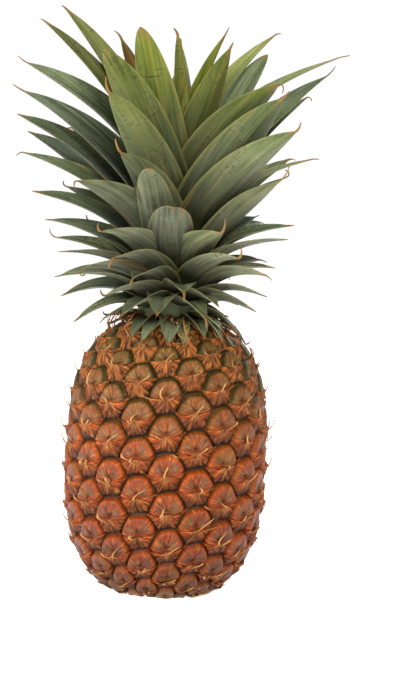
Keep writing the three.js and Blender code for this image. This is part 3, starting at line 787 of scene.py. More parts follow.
# The blade: its taper, where along it a blunt tip starts to round, how wide its root is and
# where its full width is reached, as shares.
TAPER, TAPER_END = 3.3, 0.8
BLUNT_FROM = 0.5
LEAF_ROOT = 0.8
WIDEST_FROM = 0.3
SIDE_WIDENING = 0.14

# The blade's section: its channel as a share of its half width, its wall and how much of it
# is lost toward the tip and the margins, the wave of its margins and the sway of its midrib.
LEAF_CHANNEL = 0.3
LEAF_WALL, TIP_THINNING, MARGIN_THINNING = 1.5, 0.45, 0.7
MARGIN_WAVE = 0.35
SWAY = (-2.5, 5)
LEAST_HALF_WIDTH = 0.7

# The dry strand at a leaf's tip: its half width at the end, and how much wider it begins. One
# that bends less than STRAIGHT_HOOK degrees ends at the tip that was read.
HOOK_END, HOOK_WIDENING = 0.34, 0.55
STRAIGHT_HOOK = 60

# How clear of the fruit's domes a leaf stays, and between what radii that clearance grows.
LEAF_CLEARANCE = 5.5
CLEAR_FROM, CLEAR_OVER = 22, 8
CLEAR_ABOVE_FRUIT = 12


def blade_share(s, blunt):
    """The blade's half width at s along it, as a share of its widest."""
    taper = max(1 - s**TAPER, 0) ** TAPER_END
    end = math.sqrt(max(1 - (max(s - BLUNT_FROM, 0) / (1 - BLUNT_FROM)) ** 2, 0))
    return (blunt * end + (1 - blunt) * taper) * (LEAF_ROOT + (1 - LEAF_ROOT) * min(s / WIDEST_FROM, 1))


def clearing(points):
    """How far points move together, out of the fruit's shoulder, to stay clear of its eyes."""
    push = Vector()
    upper_half = range(len(RADII) // 2, len(RADII), 3)
    for p in points:
        r = math.hypot(p.x, p.y)
        if r < 1 or p.z > FRUIT_HEIGHT + CLEAR_ABOVE_FRUIT:
            continue
        near = min(upper_half, key=lambda k: math.hypot(RADII[k] - r, HEIGHTS[k] - p.z))
        o_r, o_z, out_r, out_z = on_outline(LENGTHS[near])
        gap = (r - o_r) * out_r + (p.z - o_z) * out_z
        need = LEAF_CLEARANCE * clamp((r - CLEAR_FROM) / CLEAR_OVER) - gap
        if need > push.length:
            push = Vector((out_r * p.x / r, out_r * p.y / r, out_z)) * need
    return push


def leaf_line(leaf):
    """The blade's way outward, its root, the middle of its arch, its tip and its chord."""
    tip, root_height, _, arch, _, hook, bend, _ = leaf
    reach = math.hypot(tip.x, tip.y)
    out = Vector((tip.x / reach, tip.y / reach, 0))
    up = Vector((0, 0, 1))
    start_r = max(along(STEM, root_height) - LEAF_SINK, 1)
    chord = math.hypot(reach - start_r, tip.z - root_height)
    first = math.asin((tip.z - root_height) / chord) + math.radians(arch)
    root = out * start_r + up * root_height
    mid = root + (out * math.cos(first) + up * math.sin(first)) * chord / 2
    if abs(bend) < STRAIGHT_HOOK:
        tip = tip - (tip - mid).normalized() * hook
    return out, root, mid, tip, chord


def leaf_stations(number, leaf):
    """Stations along a leaf, as (middle, side, face, half width, share along, dryness)."""
    _, _, width, _, blunt, hook, bend, _ = leaf
    out, root, mid, tip, _ = leaf_line(leaf)
    level = Vector((out.y, -out.x, 0))
    full_roll = -out.x * math.radians(along(ROLL, out.y))
    widest = width * (1 + SIDE_WIDENING * abs(out.x))
    sway = drawn(SWAY, number, 42)
    blade_stations = LEAF_LONG - HOOK_STATIONS
    turning = Matrix.Rotation(math.radians(bend) / HOOK_STATIONS, 3, level)
    stations = []
    for q in range(LEAF_LONG + 1):
        if q <= blade_stations:
            s, dry = 1 - (1 - q / blade_stations) ** 1.25, 0
            at = root * (1 - s) ** 2 + mid * 2 * s * (1 - s) + tip * s * s
            at += level * sway * math.sin(math.pi * s)
            ahead = ((mid - root) * (1 - s) + (tip - mid) * s).normalized()
            half = max(widest / 2 * blade_share(s, blunt), LEAST_HALF_WIDTH)
        else:
            s, dry = 1, (q - blade_stations) / HOOK_STATIONS
            ahead = (turning @ ahead).normalized()
            at = at + ahead * (hook / HOOK_STATIONS)
            half = HOOK_WIDENING * (1 - dry) + HOOK_END
        side = (Matrix.Rotation(-full_roll * s**0.5, 3, ahead) @ level).normalized()
        stations.append((at, side, side.cross(ahead), half, s, dry))
    return stations


def leaf_sections(number, stations):
    """The points across each station, as pairs under and on top, moved clear of the fruit."""
    phase = draw(number, 41) * ANY_PHASE
    sections = []
    for at, side, face, half, s, dry in stations:
        deep = LEAF_CHANNEL * half * (1 + 0.5 * (1 - s)) * (1 - 0.4 * dry)
        wall = LEAF_WALL * (1 - TIP_THINNING * s) * (1 - 0.35 * dry)
        section = []
        for c in range(LEAF_WIDE + 1):
            u = 2 * c / LEAF_WIDE - 1
            wave = MARGIN_WAVE * math.sin(s * 11 + phase + 2 * u) * abs(u) ** 3 * (1 - dry)
            lift = deep * abs(u) ** 1.4 + wave
            slim = wall * (1 - MARGIN_THINNING * u * u) / 2
            section.append([at + side * half * u + face * (lift + z * slim) for z in (-1, 1)])
        push = clearing([at, *[p for pair in section for p in pair]])
        sections.append([[p + push for p in pair] for pair in section])
    return sections


def leaf_surface(number, leaf, keys):
    """A leaf's points, places (cm across and along) and marks (along, side, top, yellow)."""
    chord, yellow = leaf_line(leaf)[4], leaf[7]
    stations = leaf_stations(number, leaf)
    sections = leaf_sections(number, stations)
    points, places, marks = [], [], []
    for q, c, top in keys:
        _, _, _, half, s, dry = stations[q]
        u = 2 * c / LEAF_WIDE - 1
        points.append(sections[q][c][top])
        places.append((u * half / 10, s * chord / 10))
        marks.append((s + dry, abs(u), top, yellow))
    return points, places, marks


def crown_leaves(settings):
    """The crown's leaves, in one piece."""
    keys, faces = sheet_blank(LEAF_LONG, LEAF_WIDE)
    leaves = [front_leaf(row) for row in FRONT_LEAVES] + [back_leaf(k) for k in range(BACK_LEAVES)]
    leaves += [dead_scale(k) for k in range(DEAD_SCALES)]
    pile = Pile()
    for number, leaf in enumerate(leaves):
        points, places, marks = leaf_surface(number, leaf, keys)
        pile.copy(faces, points, places, marks, draw(number, 43))
    finish(pile.piece("crown_leaves"), leaf_material(settings), "crown", 50)


def crown_stem():
    """The short stem between the leaves, extruded ring by ring and closed at its tip."""
    deselect()
    bpy.ops.mesh.primitive_circle_add(
        vertices=32, radius=STEM[0][1] * MM, fill_type="NGON", location=(0, 0, STEM[0][0] * MM)
    )
    piece = bpy.context.object
    piece.name = piece.data.name = "crown_stem"
    bpy.ops.object.transform_apply(location=True, rotation=True, scale=True)
    bpy.ops.object.mode_set(mode="EDIT")
    bpy.ops.mesh.select_all(action="SELECT")
    for (z0, r0), (z1, r1) in zip(STEM, STEM[1:] + [STEM_TIP]):
        bpy.ops.mesh.extrude_region_move(TRANSFORM_OT_translate={"value": (0, 0, (z1 - z0) * MM)})
        bpy.ops.transform.resize(value=(r1 / r0, r1 / r0, 1), center_override=(0, 0, z1 * MM))
    bpy.ops.mesh.select_all(action="SELECT")
    bpy.ops.mesh.normals_make_consistent(inside=False)
    bpy.ops.object.mode_set(mode="OBJECT")
    finish(piece, stem_material(), "crown", 30)


def linear(colour):
    """An sRGB hex colour as linear red, green, blue and alpha."""
    values = [int(colour[k:k + 2], 16) / 255 for k in (1, 3, 5)]
    return [v / 12.92 if v <= 0.04045 else ((v + 0.055) / 1.055) ** 2.4 for v in values] + [1]


def add(tree, kind, inputs=None, stops=None, **settings):
    """A node with its settings, and its inputs set to values or linked to other outputs."""
    node = tree.nodes.new(kind)
    for name, value in settings.items():
        setattr(node, name, value)
    for key, value in (inputs or {}).items():
        if isinstance(value, bpy.types.NodeSocket):
            tree.links.new(value, node.inputs[key])
        else:
            node.inputs[key].default_value = value
    if stops:
        elements = node.color_ramp.elements
        while len(elements) < len(stops):
            elements.new(0.5)
        for element, (at, colour) in zip(elements, stops):
            element.position = at
            element.color = linear(colour)
    return node


def new_material(name):
    """A material with only its shader and output, as (material, tree, shader)."""
    material = bpy.data.materials.new(name)
    material.use_nodes = True
    tree = material.node_tree
    tree.nodes.clear()
    shader = add(tree, "ShaderNodeBsdfPrincipled")
    add(tree, "ShaderNodeOutputMaterial", {"Surface": shader.outputs["BSDF"]})
    return material, tree, shader


def mix(tree, factor, low, high, blend="MIX"):
    """The mix of two colours, each a hex colour or an output."""
    low, high = (linear(c) if isinstance(c, str) else c for c in (low, high))
    node = add(tree, "ShaderNodeMix", {0: factor, 6: low, 7: high}, data_type="RGBA", blend_type=blend)
    return node.outputs[2]


def maths(tree, operation, *values):
    """The result of an operation on values, each a number or an output."""
    return add(tree, "ShaderNodeMath", dict(enumerate(values)), operation=operation).outputs[0]


def between(tree, value, low, high, top=1.0, bottom=0.0):
    """The value as it goes from low to high, turned into bottom to top and held there."""
    inputs = {"Value": value, "From Min": low, "From Max": high, "To Min": bottom, "To Max": top}
    return add(tree, "ShaderNodeMapRange", inputs).outputs[0]


def noise(tree, vector, scale, detail, roughness=0.5):
    """Noise along a vector, with scale steps to its unit."""
    inputs = {"Vector": vector, "Scale": scale, "Detail": detail, "Roughness": roughness}
    return add(tree, "ShaderNodeTexNoise", inputs).outputs[0]


def ramp(tree, value, stops):
    """The colours of the stops along a value."""
    return add(tree, "ShaderNodeValToRGB", {"Fac": value}, stops=stops).outputs[0]


def stretched(tree, vector, scale, angle=0.0):
    """The vector turned in its plane and scaled."""
    inputs = {"Vector": vector, "Rotation": (0, 0, angle), "Scale": scale}
    return add(tree, "ShaderNodeMapping", inputs).outputs[0]


def height_of(tree, where):
    """A place's height, in metres."""
    return add(tree, "ShaderNodeSeparateXYZ", {"Vector": where}).outputs["Z"]


def shifted(tree, vector, shift):
    """The vector moved by another."""
    return add(tree, "ShaderNodeVectorMath", {0: vector, 1: shift}, operation="ADD").outputs[0]


def length_of(tree, vector):
    """The vector's length."""
    return add(tree, "ShaderNodeVectorMath", {0: vector}, operation="LENGTH").outputs["Value"]


def from_axis(tree, where):
    """How far a place is from the plant's axis, in metres."""
    flat = add(tree, "ShaderNodeVectorMath", {0: where, 1: (1, 1, 0)}, operation="MULTIPLY").outputs[0]
    return length_of(tree, flat)


def fan(tree, place, rise, run, item, seed, scale):
    """A fan's own vector: the angle of rise over run, the radius and each item's seed, scaled."""
    angle = maths(tree, "ARCTAN2", rise, run)
    inputs = {0: angle, 1: length_of(tree, place), 2: maths(tree, "MULTIPLY", item, seed)}
    return stretched(tree, add(tree, "ShaderNodeCombineXYZ", inputs).outputs[0], scale)


def dress(tree, shader, colour, relief, strength, depth, roughness, specular=0.5):
    """Gives the shader its colour, its relief of a depth in metres, its roughness and shine."""
    bump = add(tree, "ShaderNodeBump", {"Height": relief, "Strength": strength, "Distance": depth})
    tree.links.new(colour, shader.inputs["Base Color"])
    tree.links.new(bump.outputs[0], shader.inputs["Normal"])
    if isinstance(roughness, bpy.types.NodeSocket):
        tree.links.new(roughness, shader.inputs["Roughness"])
    else:
        shader.inputs["Roughness"].default_value = roughness
    shader.inputs["Specular IOR Level"].default_value = specular


# The height in metres that the fruit's colours run up to.
RIPENING_HEIGHT = 0.16


def marks_of(tree):
    """Outputs: the piece's marks, its item number, its place, its point, and its share of the
    ripening height."""
    marks = add(tree, "ShaderNodeAttribute", attribute_name="marks")
    split = add(tree, "ShaderNodeSeparateColor", {"Color": marks.outputs["Color"]})
    item = add(tree, "ShaderNodeAttribute", attribute_name="item").outputs["Fac"]
    place = add(tree, "ShaderNodeUVMap", uv_map="place").outputs["UV"]
    where = add(tree, "ShaderNodeTexCoord").outputs["Object"]
    high = between(tree, height_of(tree, where), 0, RIPENING_HEIGHT)
    return [*split.outputs[:3], marks.outputs["Alpha"]], item, place, where, high


def toned(tree, high, colour):
    """The colour made deeper and warmer toward the bottom of the fruit."""
    tone = ramp(tree, high, [(0.1, "#D6CCB8"), (0.5, "#F0E2C2"), (0.9, "#E8E8EC")])
    return mix(tree, 1, colour, tone, "MULTIPLY")


# Shares of the fruit's height over which the domes' rims turn green, the bracts golden and the
# strands brown, and over which the bracts' dull foot and the rind's dry flat spot set in.
GREEN_RIMS = (0.56, 0.78)
GOLDEN_BRACTS = (0.7, 0.95)
BROWN_STRANDS = (0.8, 0.97)
DULL_FOOT = (0.12, 0.0)
FLAT_SPOT = (0.035, 0.012)


def rind_material():
    """Fresh pineapple rind: a waxy, firm skin, orange-red low down and olive at the top, with
    paler lobes in each eye and dark grooves between them."""
    material, tree, shader = new_material("pineapple rind, waxy")
    (groove, rim, lobe, navel), item, place, where, high = marks_of(tree)
    # Ripeness runs up the fruit, and each eye is a little ahead or behind
    ripeness = maths(tree, "MULTIPLY_ADD", item, 0.1, high)
    flesh = ramp(tree, ripeness, [
        (0.03, "#5A4418"), (0.12, "#84400E"), (0.3, "#A23E05"), (0.6, "#AC4A06"),
        (0.78, "#AC5C10"), (0.93, "#98601C"), (1, "#7E5E22"),
    ])
    pale = ramp(tree, ripeness, [
        (0.05, "#6A4226"), (0.3, "#8A624E"), (0.7, "#987056"), (0.88, "#A47C4C"), (1, "#94743E"),
    ])
    dark = ramp(tree, ripeness, [(0.1, "#241006"), (0.5, "#2C1A0A"), (0.75, "#201E0C"), (1, "#20260E")])
    # Fine lines run out from the navel of each eye
    uv = add(tree, "ShaderNodeSeparateXYZ", {"Vector": place})
    rise = maths(tree, "ADD", uv.outputs[1], 0.1)
    lines = noise(tree, fan(tree, place, rise, uv.outputs[0], item, 37, (9, 1.8, 1)), 1, 5, 0.68)
    # Mottling about 4 mm across, and patches about 18 mm across
    mottle = noise(tree, where, 260, 4, 0.6)
    patches = noise(tree, where, 55, 3)
    colour = mix(tree, lobe, flesh, pale)
    colour = mix(tree, navel, colour, "#4E2A14")
    # The lines are brown between, and the sharpest carry a painted pale orange highlight
    shade = mix(tree, between(tree, lines, 0.35, 0.65), "#5A3826", "#FFF8E8")
    colour = mix(tree, 0.85, colour, shade, "MULTIPLY")
    colour = mix(tree, between(tree, lines, 0.56, 0.68, 0.7), colour, "#DC9A58")
    mottling = ramp(tree, mottle, [(0.3, "#8C7464"), (0.6, "#FFFFFF")])
    colour = mix(tree, 0.4, colour, mottling, "MULTIPLY")
    colour = mix(tree, between(tree, patches, 0.56, 0.7, 0.5), colour, "#6E5A26")
    # The rim of each dome is a thin paler edge, and high up a dark green one
    edge = mix(tree, 0.5, flesh, "#C07A3C")
    unripe = between(tree, high, *GREEN_RIMS, 0.95)
    green_rim = maths(tree, "MULTIPLY", rim, unripe)
    colour = mix(tree, maths(tree, "MULTIPLY", rim, 0.3), colour, edge)
    colour = mix(tree, green_rim, colour, mix(tree, mottle, "#0C1108", "#3A441C"))
    # The dome's skirt is a deeper red or green, and the groove outside it nearly black
    skirt = between(tree, groove, 0.02, 0.3)
    colour = mix(tree, skirt, colour, mix(tree, high, "#743010", "#36401A"))
    colour = toned(tree, high, mix(tree, groove, colour, dark))
    # The flat spot round the stalk is dry and brown
    flat_spot = between(tree, high, *FLAT_SPOT)
    colour = mix(tree, flat_spot, colour, mix(tree, mottle, "#3C2612", "#8A6238"))
    relief = maths(tree, "MULTIPLY_ADD", mottle, 0.4, lines)
    dress(tree, shader, colour, relief, 0.9, 0.0009, between(tree, mottle, 0, 1, 0.55, 0.28), 0.22)
    return material


def bract_material():
    """Dried bract: thin, papery and creased, red-orange at its rim and wings and dull below, with
    painted shade in its creases and a painted highlight along its rim.
    """
    material, tree, shader = new_material("dried bract, papery")
    (down, side, _, _), item, place, where, high = marks_of(tree)
    # Creases fan out from the tip at the middle of the rim
    uv = add(tree, "ShaderNodeSeparateXYZ", {"Vector": place})
    below = maths(tree, "SUBTRACT", 0.16, uv.outputs[1])
    creases = noise(tree, fan(tree, place, uv.outputs[0], below, item, 61, (6.5, 2.0, 1)), 1, 5, 0.72)
    fold_shade_mask = between(tree, creases, 0.4, 0.6)
    # The body has a thin painted highlight along the rim, and darkens down toward its foot
    body = ramp(tree, down, [
        (0, "#C4763A"), (0.08, "#9C4E16"), (0.3, "#824A22"),
        (0.65, "#6C4426"), (0.9, "#422A14"), (1, "#221608"),
    ])
    # Painted shade darkens the crease troughs, and the pale crease ridges are partly the bract's straw
    # streaks and partly painted highlight
    crease_shade_and_highlight = ramp(tree, creases, [
        (0.36, "#140A08"), (0.45, "#6E5040"), (0.52, "#D09A60"), (0.6, "#FFD08A"),
    ])
    colour = mix(tree, 0.75, body, crease_shade_and_highlight, "OVERLAY")
    colour = mix(tree, between(tree, creases, 0.46, 0.36, 0.55), colour, "#2A160A")
    colour = mix(tree, between(tree, creases, 0.55, 0.68, 0.5), colour, "#D29A5A")
    # Pale straw where the dry tip grows out, with painted shade in its folds, dull purple patches and
    # red wings
    near = between(tree, length_of(tree, place), 0.4, 0.05, 0.55)
    colour = mix(tree, near, colour, mix(tree, fold_shade_mask, "#6A4224", "#DCB078"))
    patches = noise(tree, where, 130, 3)
    colour = mix(tree, between(tree, patches, 0.52, 0.68, 0.4), colour, "#5C3C30")
    colour = mix(tree, between(tree, side, 0.5, 0.95, 0.6), colour, "#964C14")
    # High on the fruit, golden fold ridges with painted shade in the troughs, and a dull foot
    golden = between(tree, high, *GOLDEN_BRACTS, 0.85)
    colour = mix(tree, golden, colour, mix(tree, fold_shade_mask, "#1A1407", "#CC7A32"))
    colour = mix(tree, between(tree, high, *DULL_FOOT, 0.8), colour, "#4E3018")
    dress(tree, shader, toned(tree, high, colour), creases, 1.0, 0.0016, 0.52, 0.2)
    return material


def strand_material():
    """Dead bract tip: bleached straw, dull, with brown streaks along it."""
    material, tree, shader = new_material("dead bract tip, straw")
    (length, _, _, _), _, _, where, high = marks_of(tree)
    streaks = noise(tree, where, 420, 3)
    straw = ramp(tree, length, [(0, "#8A4C1C"), (0.3, "#B27A3A"), (0.75, "#CC9E5A"), (1, "#7A4A28")])
    brown = between(tree, high, *BROWN_STRANDS, 0.75)
    colour = mix(tree, brown, straw, mix(tree, streaks, "#4A2410", "#A4602C"))
    colour = mix(tree, 0.5, colour, mix(tree, streaks, "#7A5236", "#FFFFFF"), "MULTIPLY")
    dress(tree, shader, colour, streaks, 0.5, 0.0005, 0.7)
    return material


def blemishes(tree, place, shift, where, cloud):
    """Small dark specks, and fine scratches across the blade, in scattered patches."""
    drift = noise(tree, shifted(tree, stretched(tree, place, (0.6, 4.5, 1), 0.3), shift), 1, 2)
    apart = maths(tree, "ABSOLUTE", maths(tree, "SUBTRACT", drift, 0.5))
    scratches = between(tree, apart, 0.022, 0.008)
    marred = maths(tree, "MAXIMUM", noise(tree, where, 420, 2), scratches)
    patchy = between(tree, cloud, 0.5, 0.58)
    return maths(tree, "MULTIPLY", between(tree, marred, 0.62, 0.7, 0.75), patchy)


# Heights in the crown, in metres: where the leaves turn from grey to olive, where the pale
# leaves of the foot begin, and where the painted shade of the crown's heart ends. The radii of
# that painted shade follow.
OLIVE_LEAVES = (0.22, 0.31)
PALE_FOOT = (0.235, 0.19)
HEART_SHADE_TOP = (0.265, 0.235)
HEART_SHADE_RADII = (0.042, 0.014)

# Along a leaf: where the painted shade at its base ends and begins, and where its dry tip begins.
BASE_SHADE = (0.78, 0.32)
DRY_TIP = (1.01, 1.07)

# The yellow mark at which a leaf starts to be dead, and is.
DYING = (1.2, 1.6)


def leaf_material(settings):
    """Pineapple crown leaf: stiff and fibrous, grey-green with bloom on its under face, deep
    green on its upper face, with dry tan tips and margins."""
    material, tree, shader = new_material("pineapple leaf, bloomed")
    (length, side, top, yellow), item, place, where, _ = marks_of(tree)
    height = height_of(tree, where)
    # Fibres run along the blade, about 0.7 mm apart, with broader bands between them
    shift = add(tree, "ShaderNodeCombineXYZ", {2: maths(tree, "MULTIPLY", item, 53)}).outputs[0]
    moved = shifted(tree, stretched(tree, place, (14, 0.35, 1)), shift)
    fibres = noise(tree, moved, 1, 3)
    bands = between(tree, noise(tree, stretched(tree, moved, (0.34, 0.6, 1)), 1, 4, 0.65), 0.3, 0.7)
    cloud = noise(tree, where, 70, 4)
    # The bloomed under face: grey low down, olive high up, and paler at the crown's foot
    olive_share = between(tree, height, *OLIVE_LEAVES)
    foot = between(tree, height, *PALE_FOOT, 0.9)
    grey = mix(tree, bands, "#494D38", [*settings.leaf_under, 1])
    grey = mix(tree, foot, grey, mix(tree, bands, "#60654A", "#B0B498"))
    under = mix(tree, olive_share, grey, mix(tree, bands, "#283A10", "#566624"))
    bloom = mix(tree, olive_share, "#9A9F8A", "#747C44")
    under = mix(tree, between(tree, cloud, 0.42, 0.7, 0.4), under, bloom)
    over = mix(tree, bands, "#324028", [*settings.leaf_upper, 1])
    over = mix(tree, foot, over, mix(tree, bands, "#4A523A", "#929878"))
    colour = mix(tree, top, under, over)
    # Young leaves are yellow-green, and dead ones brown
    youth = add(tree, "ShaderNodeMath", {0: yellow, 1: 0.7}, operation="MULTIPLY", use_clamp=True)
    colour = mix(tree, youth.outputs[0], colour, mix(tree, bands, "#566E18", "#A8A238"))
    colour = mix(tree, between(tree, yellow, *DYING), colour, mix(tree, bands, "#34190A", "#84491E"))
    # Painted shade: leaves are darkened at the base, and low in the crown's heart, where they close
    # over each other
    heart_shade = between(tree, from_axis(tree, where), *HEART_SHADE_RADII, 0.85)
    heart_shade = maths(tree, "MULTIPLY", heart_shade, between(tree, height, *HEART_SHADE_TOP))
    base = between(tree, length, *BASE_SHADE, 0.97)
    colour = mix(tree, maths(tree, "MAXIMUM", heart_shade, base), colour, "#181B0A")
    # Each leaf is lighter or darker than the next
    light = between(tree, item, 0, 1, 1.2, 0.6)
    colour = add(tree, "ShaderNodeHueSaturation", {"Value": light, "Color": colour}).outputs[0]
    colour = mix(tree, 0.75, colour, mix(tree, fibres, "#60664E", "#FFFFFF"), "MULTIPLY")
    # Rusty streaks along the blade, mostly near its margins
    rust = between(tree, maths(tree, "MULTIPLY_ADD", side, 0.2, bands), 0.9, 1.1, 0.6)
    colour = mix(tree, rust, colour, "#7C5420")
    colour = mix(tree, blemishes(tree, place, shift, where, cloud), colour, "#2A2A12")
    # The margin is a little paler, and the tip dry and brown
    colour = mix(tree, between(tree, side, 0.88, 1, 0.3), colour, "#868240")
    dry = between(tree, maths(tree, "MULTIPLY_ADD", bands, 0.1, length), *DRY_TIP)
    colour = mix(tree, dry, colour, mix(tree, cloud, "#3A2612", "#94703C"))
    relief = maths(tree, "MULTIPLY_ADD", cloud, 0.6, fibres)
    dress(tree, shader, colour, relief, 0.6, 0.0008, between(tree, cloud, 0, 1, 0.68, 0.42), 0.2)
    return material


def stem_material():
    """Green stem: matte and fibrous, seen only deep between the leaves."""
    material, tree, shader = new_material("green stem, fibrous")
    where = add(tree, "ShaderNodeTexCoord").outputs["Object"]
    fibres = noise(tree, where, 160, 3)
    dress(tree, shader, mix(tree, fibres, "#2A301C", "#55603A"), fibres, 0.5, 0.001, 0.75)
    return material


def stalk_material():
    """Cut pineapple stalk: dry, pale wood-like fibre, darker toward its bark."""
    material, tree, shader = new_material("cut stalk, fibrous")
    where = add(tree, "ShaderNodeTexCoord").outputs["Object"]
    out = between(tree, from_axis(tree, where), 0, STALK_RADIUS * MM)
    # Fibre ends, about 0.8 mm across
    ends = add(tree, "ShaderNodeTexVoronoi", {"Vector": where, "Scale": 1200}).outputs[0]
    grain = noise(tree, where, 300, 4)
    base = ramp(tree, out, [(0, "#C9AE78"), (0.6, "#BFA06A"), (0.85, "#8F6E42"), (1, "#4E3820")])
    colour = mix(tree, 0.6, base, mix(tree, ends, "#FFFFFF", "#6A4A2A"), "MULTIPLY")
    colour = mix(tree, 0.4, colour, mix(tree, grain, "#7A6040", "#FFFFFF"), "MULTIPLY")
    dress(tree, shader, colour, ends, 0.7, 0.001, 0.85)
    return material


# The floor's side in metres, how strongly it glows, and how strongly the backdrop lights and
# how bright it shows.
FLOOR_SIDE = 60
FLOOR_GLOW = 0.86
BACKDROP_LIGHT, BACKDROP_SEEN = 0.2, 1.05

# The point that the lights are aimed at, and each light's name, place, size, power as a share
# of the key light's, and colour.
LIT_POINT = (0, 0, 0.17)
LIGHTS = [
    ("key", (0.25, -1.4, 0.8), 0.5, 1, "#FFFAF0"),
    ("fill", (-1.2, -0.8, 0.4), 1.0, 1.05, "#F6F9FF"),
    ("top", (-0.1, 0.1, 1.4), 0.6, 0.45, "#FFFFFF"),
    ("back", (0.3, 1.4, 0.8), 1.0, 0.55, "#FFFFFF"),
]

# The camera's, in millimetres.
SENSOR_WIDTH = 36


def area_light(name, place, size, power, colour):
    """A square light, aimed at the object's middle."""
    deselect()
    bpy.ops.object.light_add(type="AREA", location=place)
    light = bpy.context.object
    light.name = light.data.name = name
    light.data.size = size
    light.data.energy = power
    light.data.color = linear(colour)[:3]
    light.rotation_euler = (Vector(LIT_POINT) - Vector(place)).to_track_quat("-Z", "Y").to_euler()


def floor():
    """The pale floor, which glows a little so that it stays white under soft light."""
    deselect()
    bpy.ops.mesh.primitive_grid_add(x_subdivisions=24, y_subdivisions=24, size=FLOOR_SIDE)
    ground = bpy.context.object
    ground.name = ground.data.name = "floor"
    material, tree, shader = new_material("studio floor, matte paint")
    where = add(tree, "ShaderNodeTexCoord").outputs["Object"]
    paint = mix(tree, noise(tree, where, 40, 2), "#F4F4F4", "#FFFFFF")
    tree.links.new(paint, shader.inputs["Base Color"])
    shader.inputs["Emission Color"].default_value = linear("#FFFFFF")
    shader.inputs["Emission Strength"].default_value = FLOOR_GLOW
    shader.inputs["Roughness"].default_value = 0.9
    shader.inputs["Specular IOR Level"].default_value = 0.1
    ground.data.materials.append(material)


def backdrop():
    """A white backdrop, which lights the object more softly than it shows."""
    world = bpy.data.worlds.new("studio")
    world.use_nodes = True
    tree = world.node_tree
    seen = add(tree, "ShaderNodeLightPath").outputs["Is Camera Ray"]
    strength = between(tree, seen, 0, 1, BACKDROP_SEEN, BACKDROP_LIGHT)
    tree.nodes["Background"].inputs["Color"].default_value = linear("#FFFFFF")
    tree.links.new(strength, tree.nodes["Background"].inputs["Strength"])
    bpy.context.scene.world = world
    bpy.context.scene.view_settings.view_transform = "Standard"


def front_camera():
    """The camera of the front view, from which the leaves are measured."""
    lean = Matrix.Rotation(-VIEW_LEAN, 3, "Y")
    across = lean @ Vector((1, 0, 0))
    up = lean @ Vector((0, math.sin(VIEW_ABOVE), math.cos(VIEW_ABOVE)))
    back = across.cross(up)
    aim = lean @ Vector((VIEW_ACROSS * MM, 0, VIEW_UP * MM))
    deselect()
    bpy.ops.object.camera_add()
    camera = bpy.context.object
    turn = Matrix((across, up, back)).transposed()
    camera.matrix_world = Matrix.Translation(aim + back * VIEW_DISTANCE * MM) @ turn.to_4x4()
    camera.data.sensor_fit = "AUTO"
    camera.data.sensor_width = SENSOR_WIDTH
    camera.data.lens = SENSOR_WIDTH * VIEW_DISTANCE / (2 * VIEW_TOP * VIEW_STEP)
    camera.data.clip_end = 20
    bpy.context.scene.camera = camera


def stage(settings):
    """The floor, the soft studio lights, the backdrop and the camera."""
    floor()
    for name, place, size, share, colour in LIGHTS:
        area_light(name, place, size, settings.key_power * share, colour)
    backdrop()
    front_camera()


class FruitSettings(bpy.types.PropertyGroup):
    """Sizes of the fruit's relief"""

    dome_height: bpy.props.FloatProperty(
        name="Dome height", description="How far a dome stands over the groove round it",
        default=0.0031, min=0.001, max=0.005, subtype="DISTANCE", unit="LENGTH",
    )
    spine_length: bpy.props.FloatProperty(
        name="Spine length", description="Length of the dry strand at a bract's tip",
        default=0.007, min=0.001, max=0.012, subtype="DISTANCE", unit="LENGTH",
    )


class CrownSettings(bpy.types.PropertyGroup):
    """Colours of the leaves"""

    leaf_under: bpy.props.FloatVectorProperty(
        name="Under face", description="Colour of a leaf's bloomed under face",
        default=linear("#8C8E7A")[:3], min=0, max=1, size=3, subtype="COLOR",
    )
    leaf_upper: bpy.props.FloatVectorProperty(
        name="Upper face", description="Colour of a leaf's upper face",
        default=linear("#8E9C78")[:3], min=0, max=1, size=3, subtype="COLOR",
    )


class StageSettings(bpy.types.PropertyGroup):
    """Light of the studio"""

    key_power: bpy.props.FloatProperty(
        name="Key light", description="Power of the main studio light",
        default=23, min=0, max=200, subtype="POWER", unit="POWER",
    )


class PINEAPPLE_OT_fruit(bpy.types.Operator):
    """Build the rind, the bracts and their dry tips"""

    bl_idname = "pineapple.fruit"
    bl_label = "Fruit"

    def execute(self, context):
        settings = context.scene.pineapple_fruit
        rind(settings)
        bracts()
        strands(settings)
        return {"FINISHED"}


class PINEAPPLE_OT_crown(bpy.types.Operator):
    """Build the crown's leaves and stem"""

    bl_idname = "pineapple.crown"
    bl_label = "Crown"

    def execute(self, context):
        crown_stem()
        crown_leaves(context.scene.pineapple_crown)
        return {"FINISHED"}


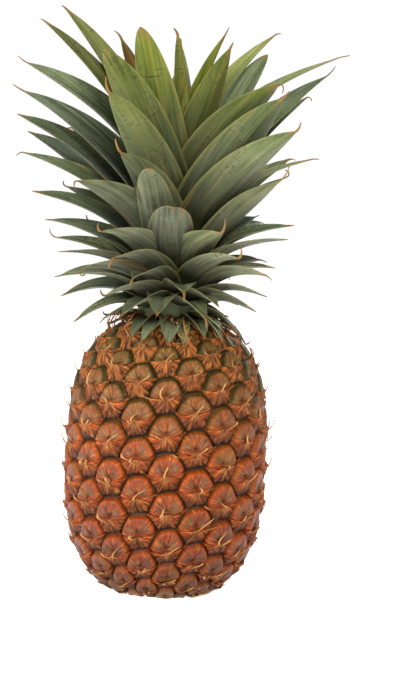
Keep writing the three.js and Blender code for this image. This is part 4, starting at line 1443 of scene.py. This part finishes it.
class PINEAPPLE_OT_stalk(bpy.types.Operator):
    """Finish the cut end of the stalk"""

    bl_idname = "pineapple.stalk"
    bl_label = "Stalk"

    def execute(self, context):
        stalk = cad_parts["stalk"]
        stalk.data.materials.clear()
        stalk.data.materials.append(stalk_material())
        return {"FINISHED"}


class PINEAPPLE_OT_stage(bpy.types.Operator):
    """Set up the floor, the lights and the camera"""

    bl_idname = "pineapple.stage"
    bl_label = "Stage"

    def execute(self, context):
        stage(context.scene.pineapple_stage)
        return {"FINISHED"}


class PINEAPPLE_PT_panel(bpy.types.Panel):
    """The settings and a button for each group of pieces"""

    bl_label = "Pineapple"
    bl_idname = "PINEAPPLE_PT_panel"
    bl_space_type = "VIEW_3D"
    bl_region_type = "UI"
    bl_category = "Pineapple"

    def draw(self, context):
        scene = context.scene
        for group in (scene.pineapple_fruit, scene.pineapple_crown, scene.pineapple_stage):
            for name in group.__annotations__:
                self.layout.prop(group, name)
        for name in ("fruit", "crown", "stalk", "stage"):
            self.layout.operator("pineapple." + name)


CLASSES = (
    FruitSettings, CrownSettings, StageSettings,
    PINEAPPLE_OT_fruit, PINEAPPLE_OT_crown, PINEAPPLE_OT_stalk, PINEAPPLE_OT_stage,
    PINEAPPLE_PT_panel,
)


def register():
    """Adds the classes and the scene's settings."""
    for cls in CLASSES:
        bpy.utils.register_class(cls)
    bpy.types.Scene.pineapple_fruit = bpy.props.PointerProperty(type=FruitSettings)
    bpy.types.Scene.pineapple_crown = bpy.props.PointerProperty(type=CrownSettings)
    bpy.types.Scene.pineapple_stage = bpy.props.PointerProperty(type=StageSettings)


def unregister():
    """Takes them away again."""
    del bpy.types.Scene.pineapple_stage
    del bpy.types.Scene.pineapple_crown
    del bpy.types.Scene.pineapple_fruit
    for cls in reversed(CLASSES):
        bpy.utils.unregister_class(cls)


def main():
    """Builds the pineapple and its stage."""
    register()
    bpy.ops.pineapple.fruit()
    bpy.ops.pineapple.crown()
    bpy.ops.pineapple.stalk()
    bpy.ops.pineapple.stage()


if __name__ == "__main__":
    main()
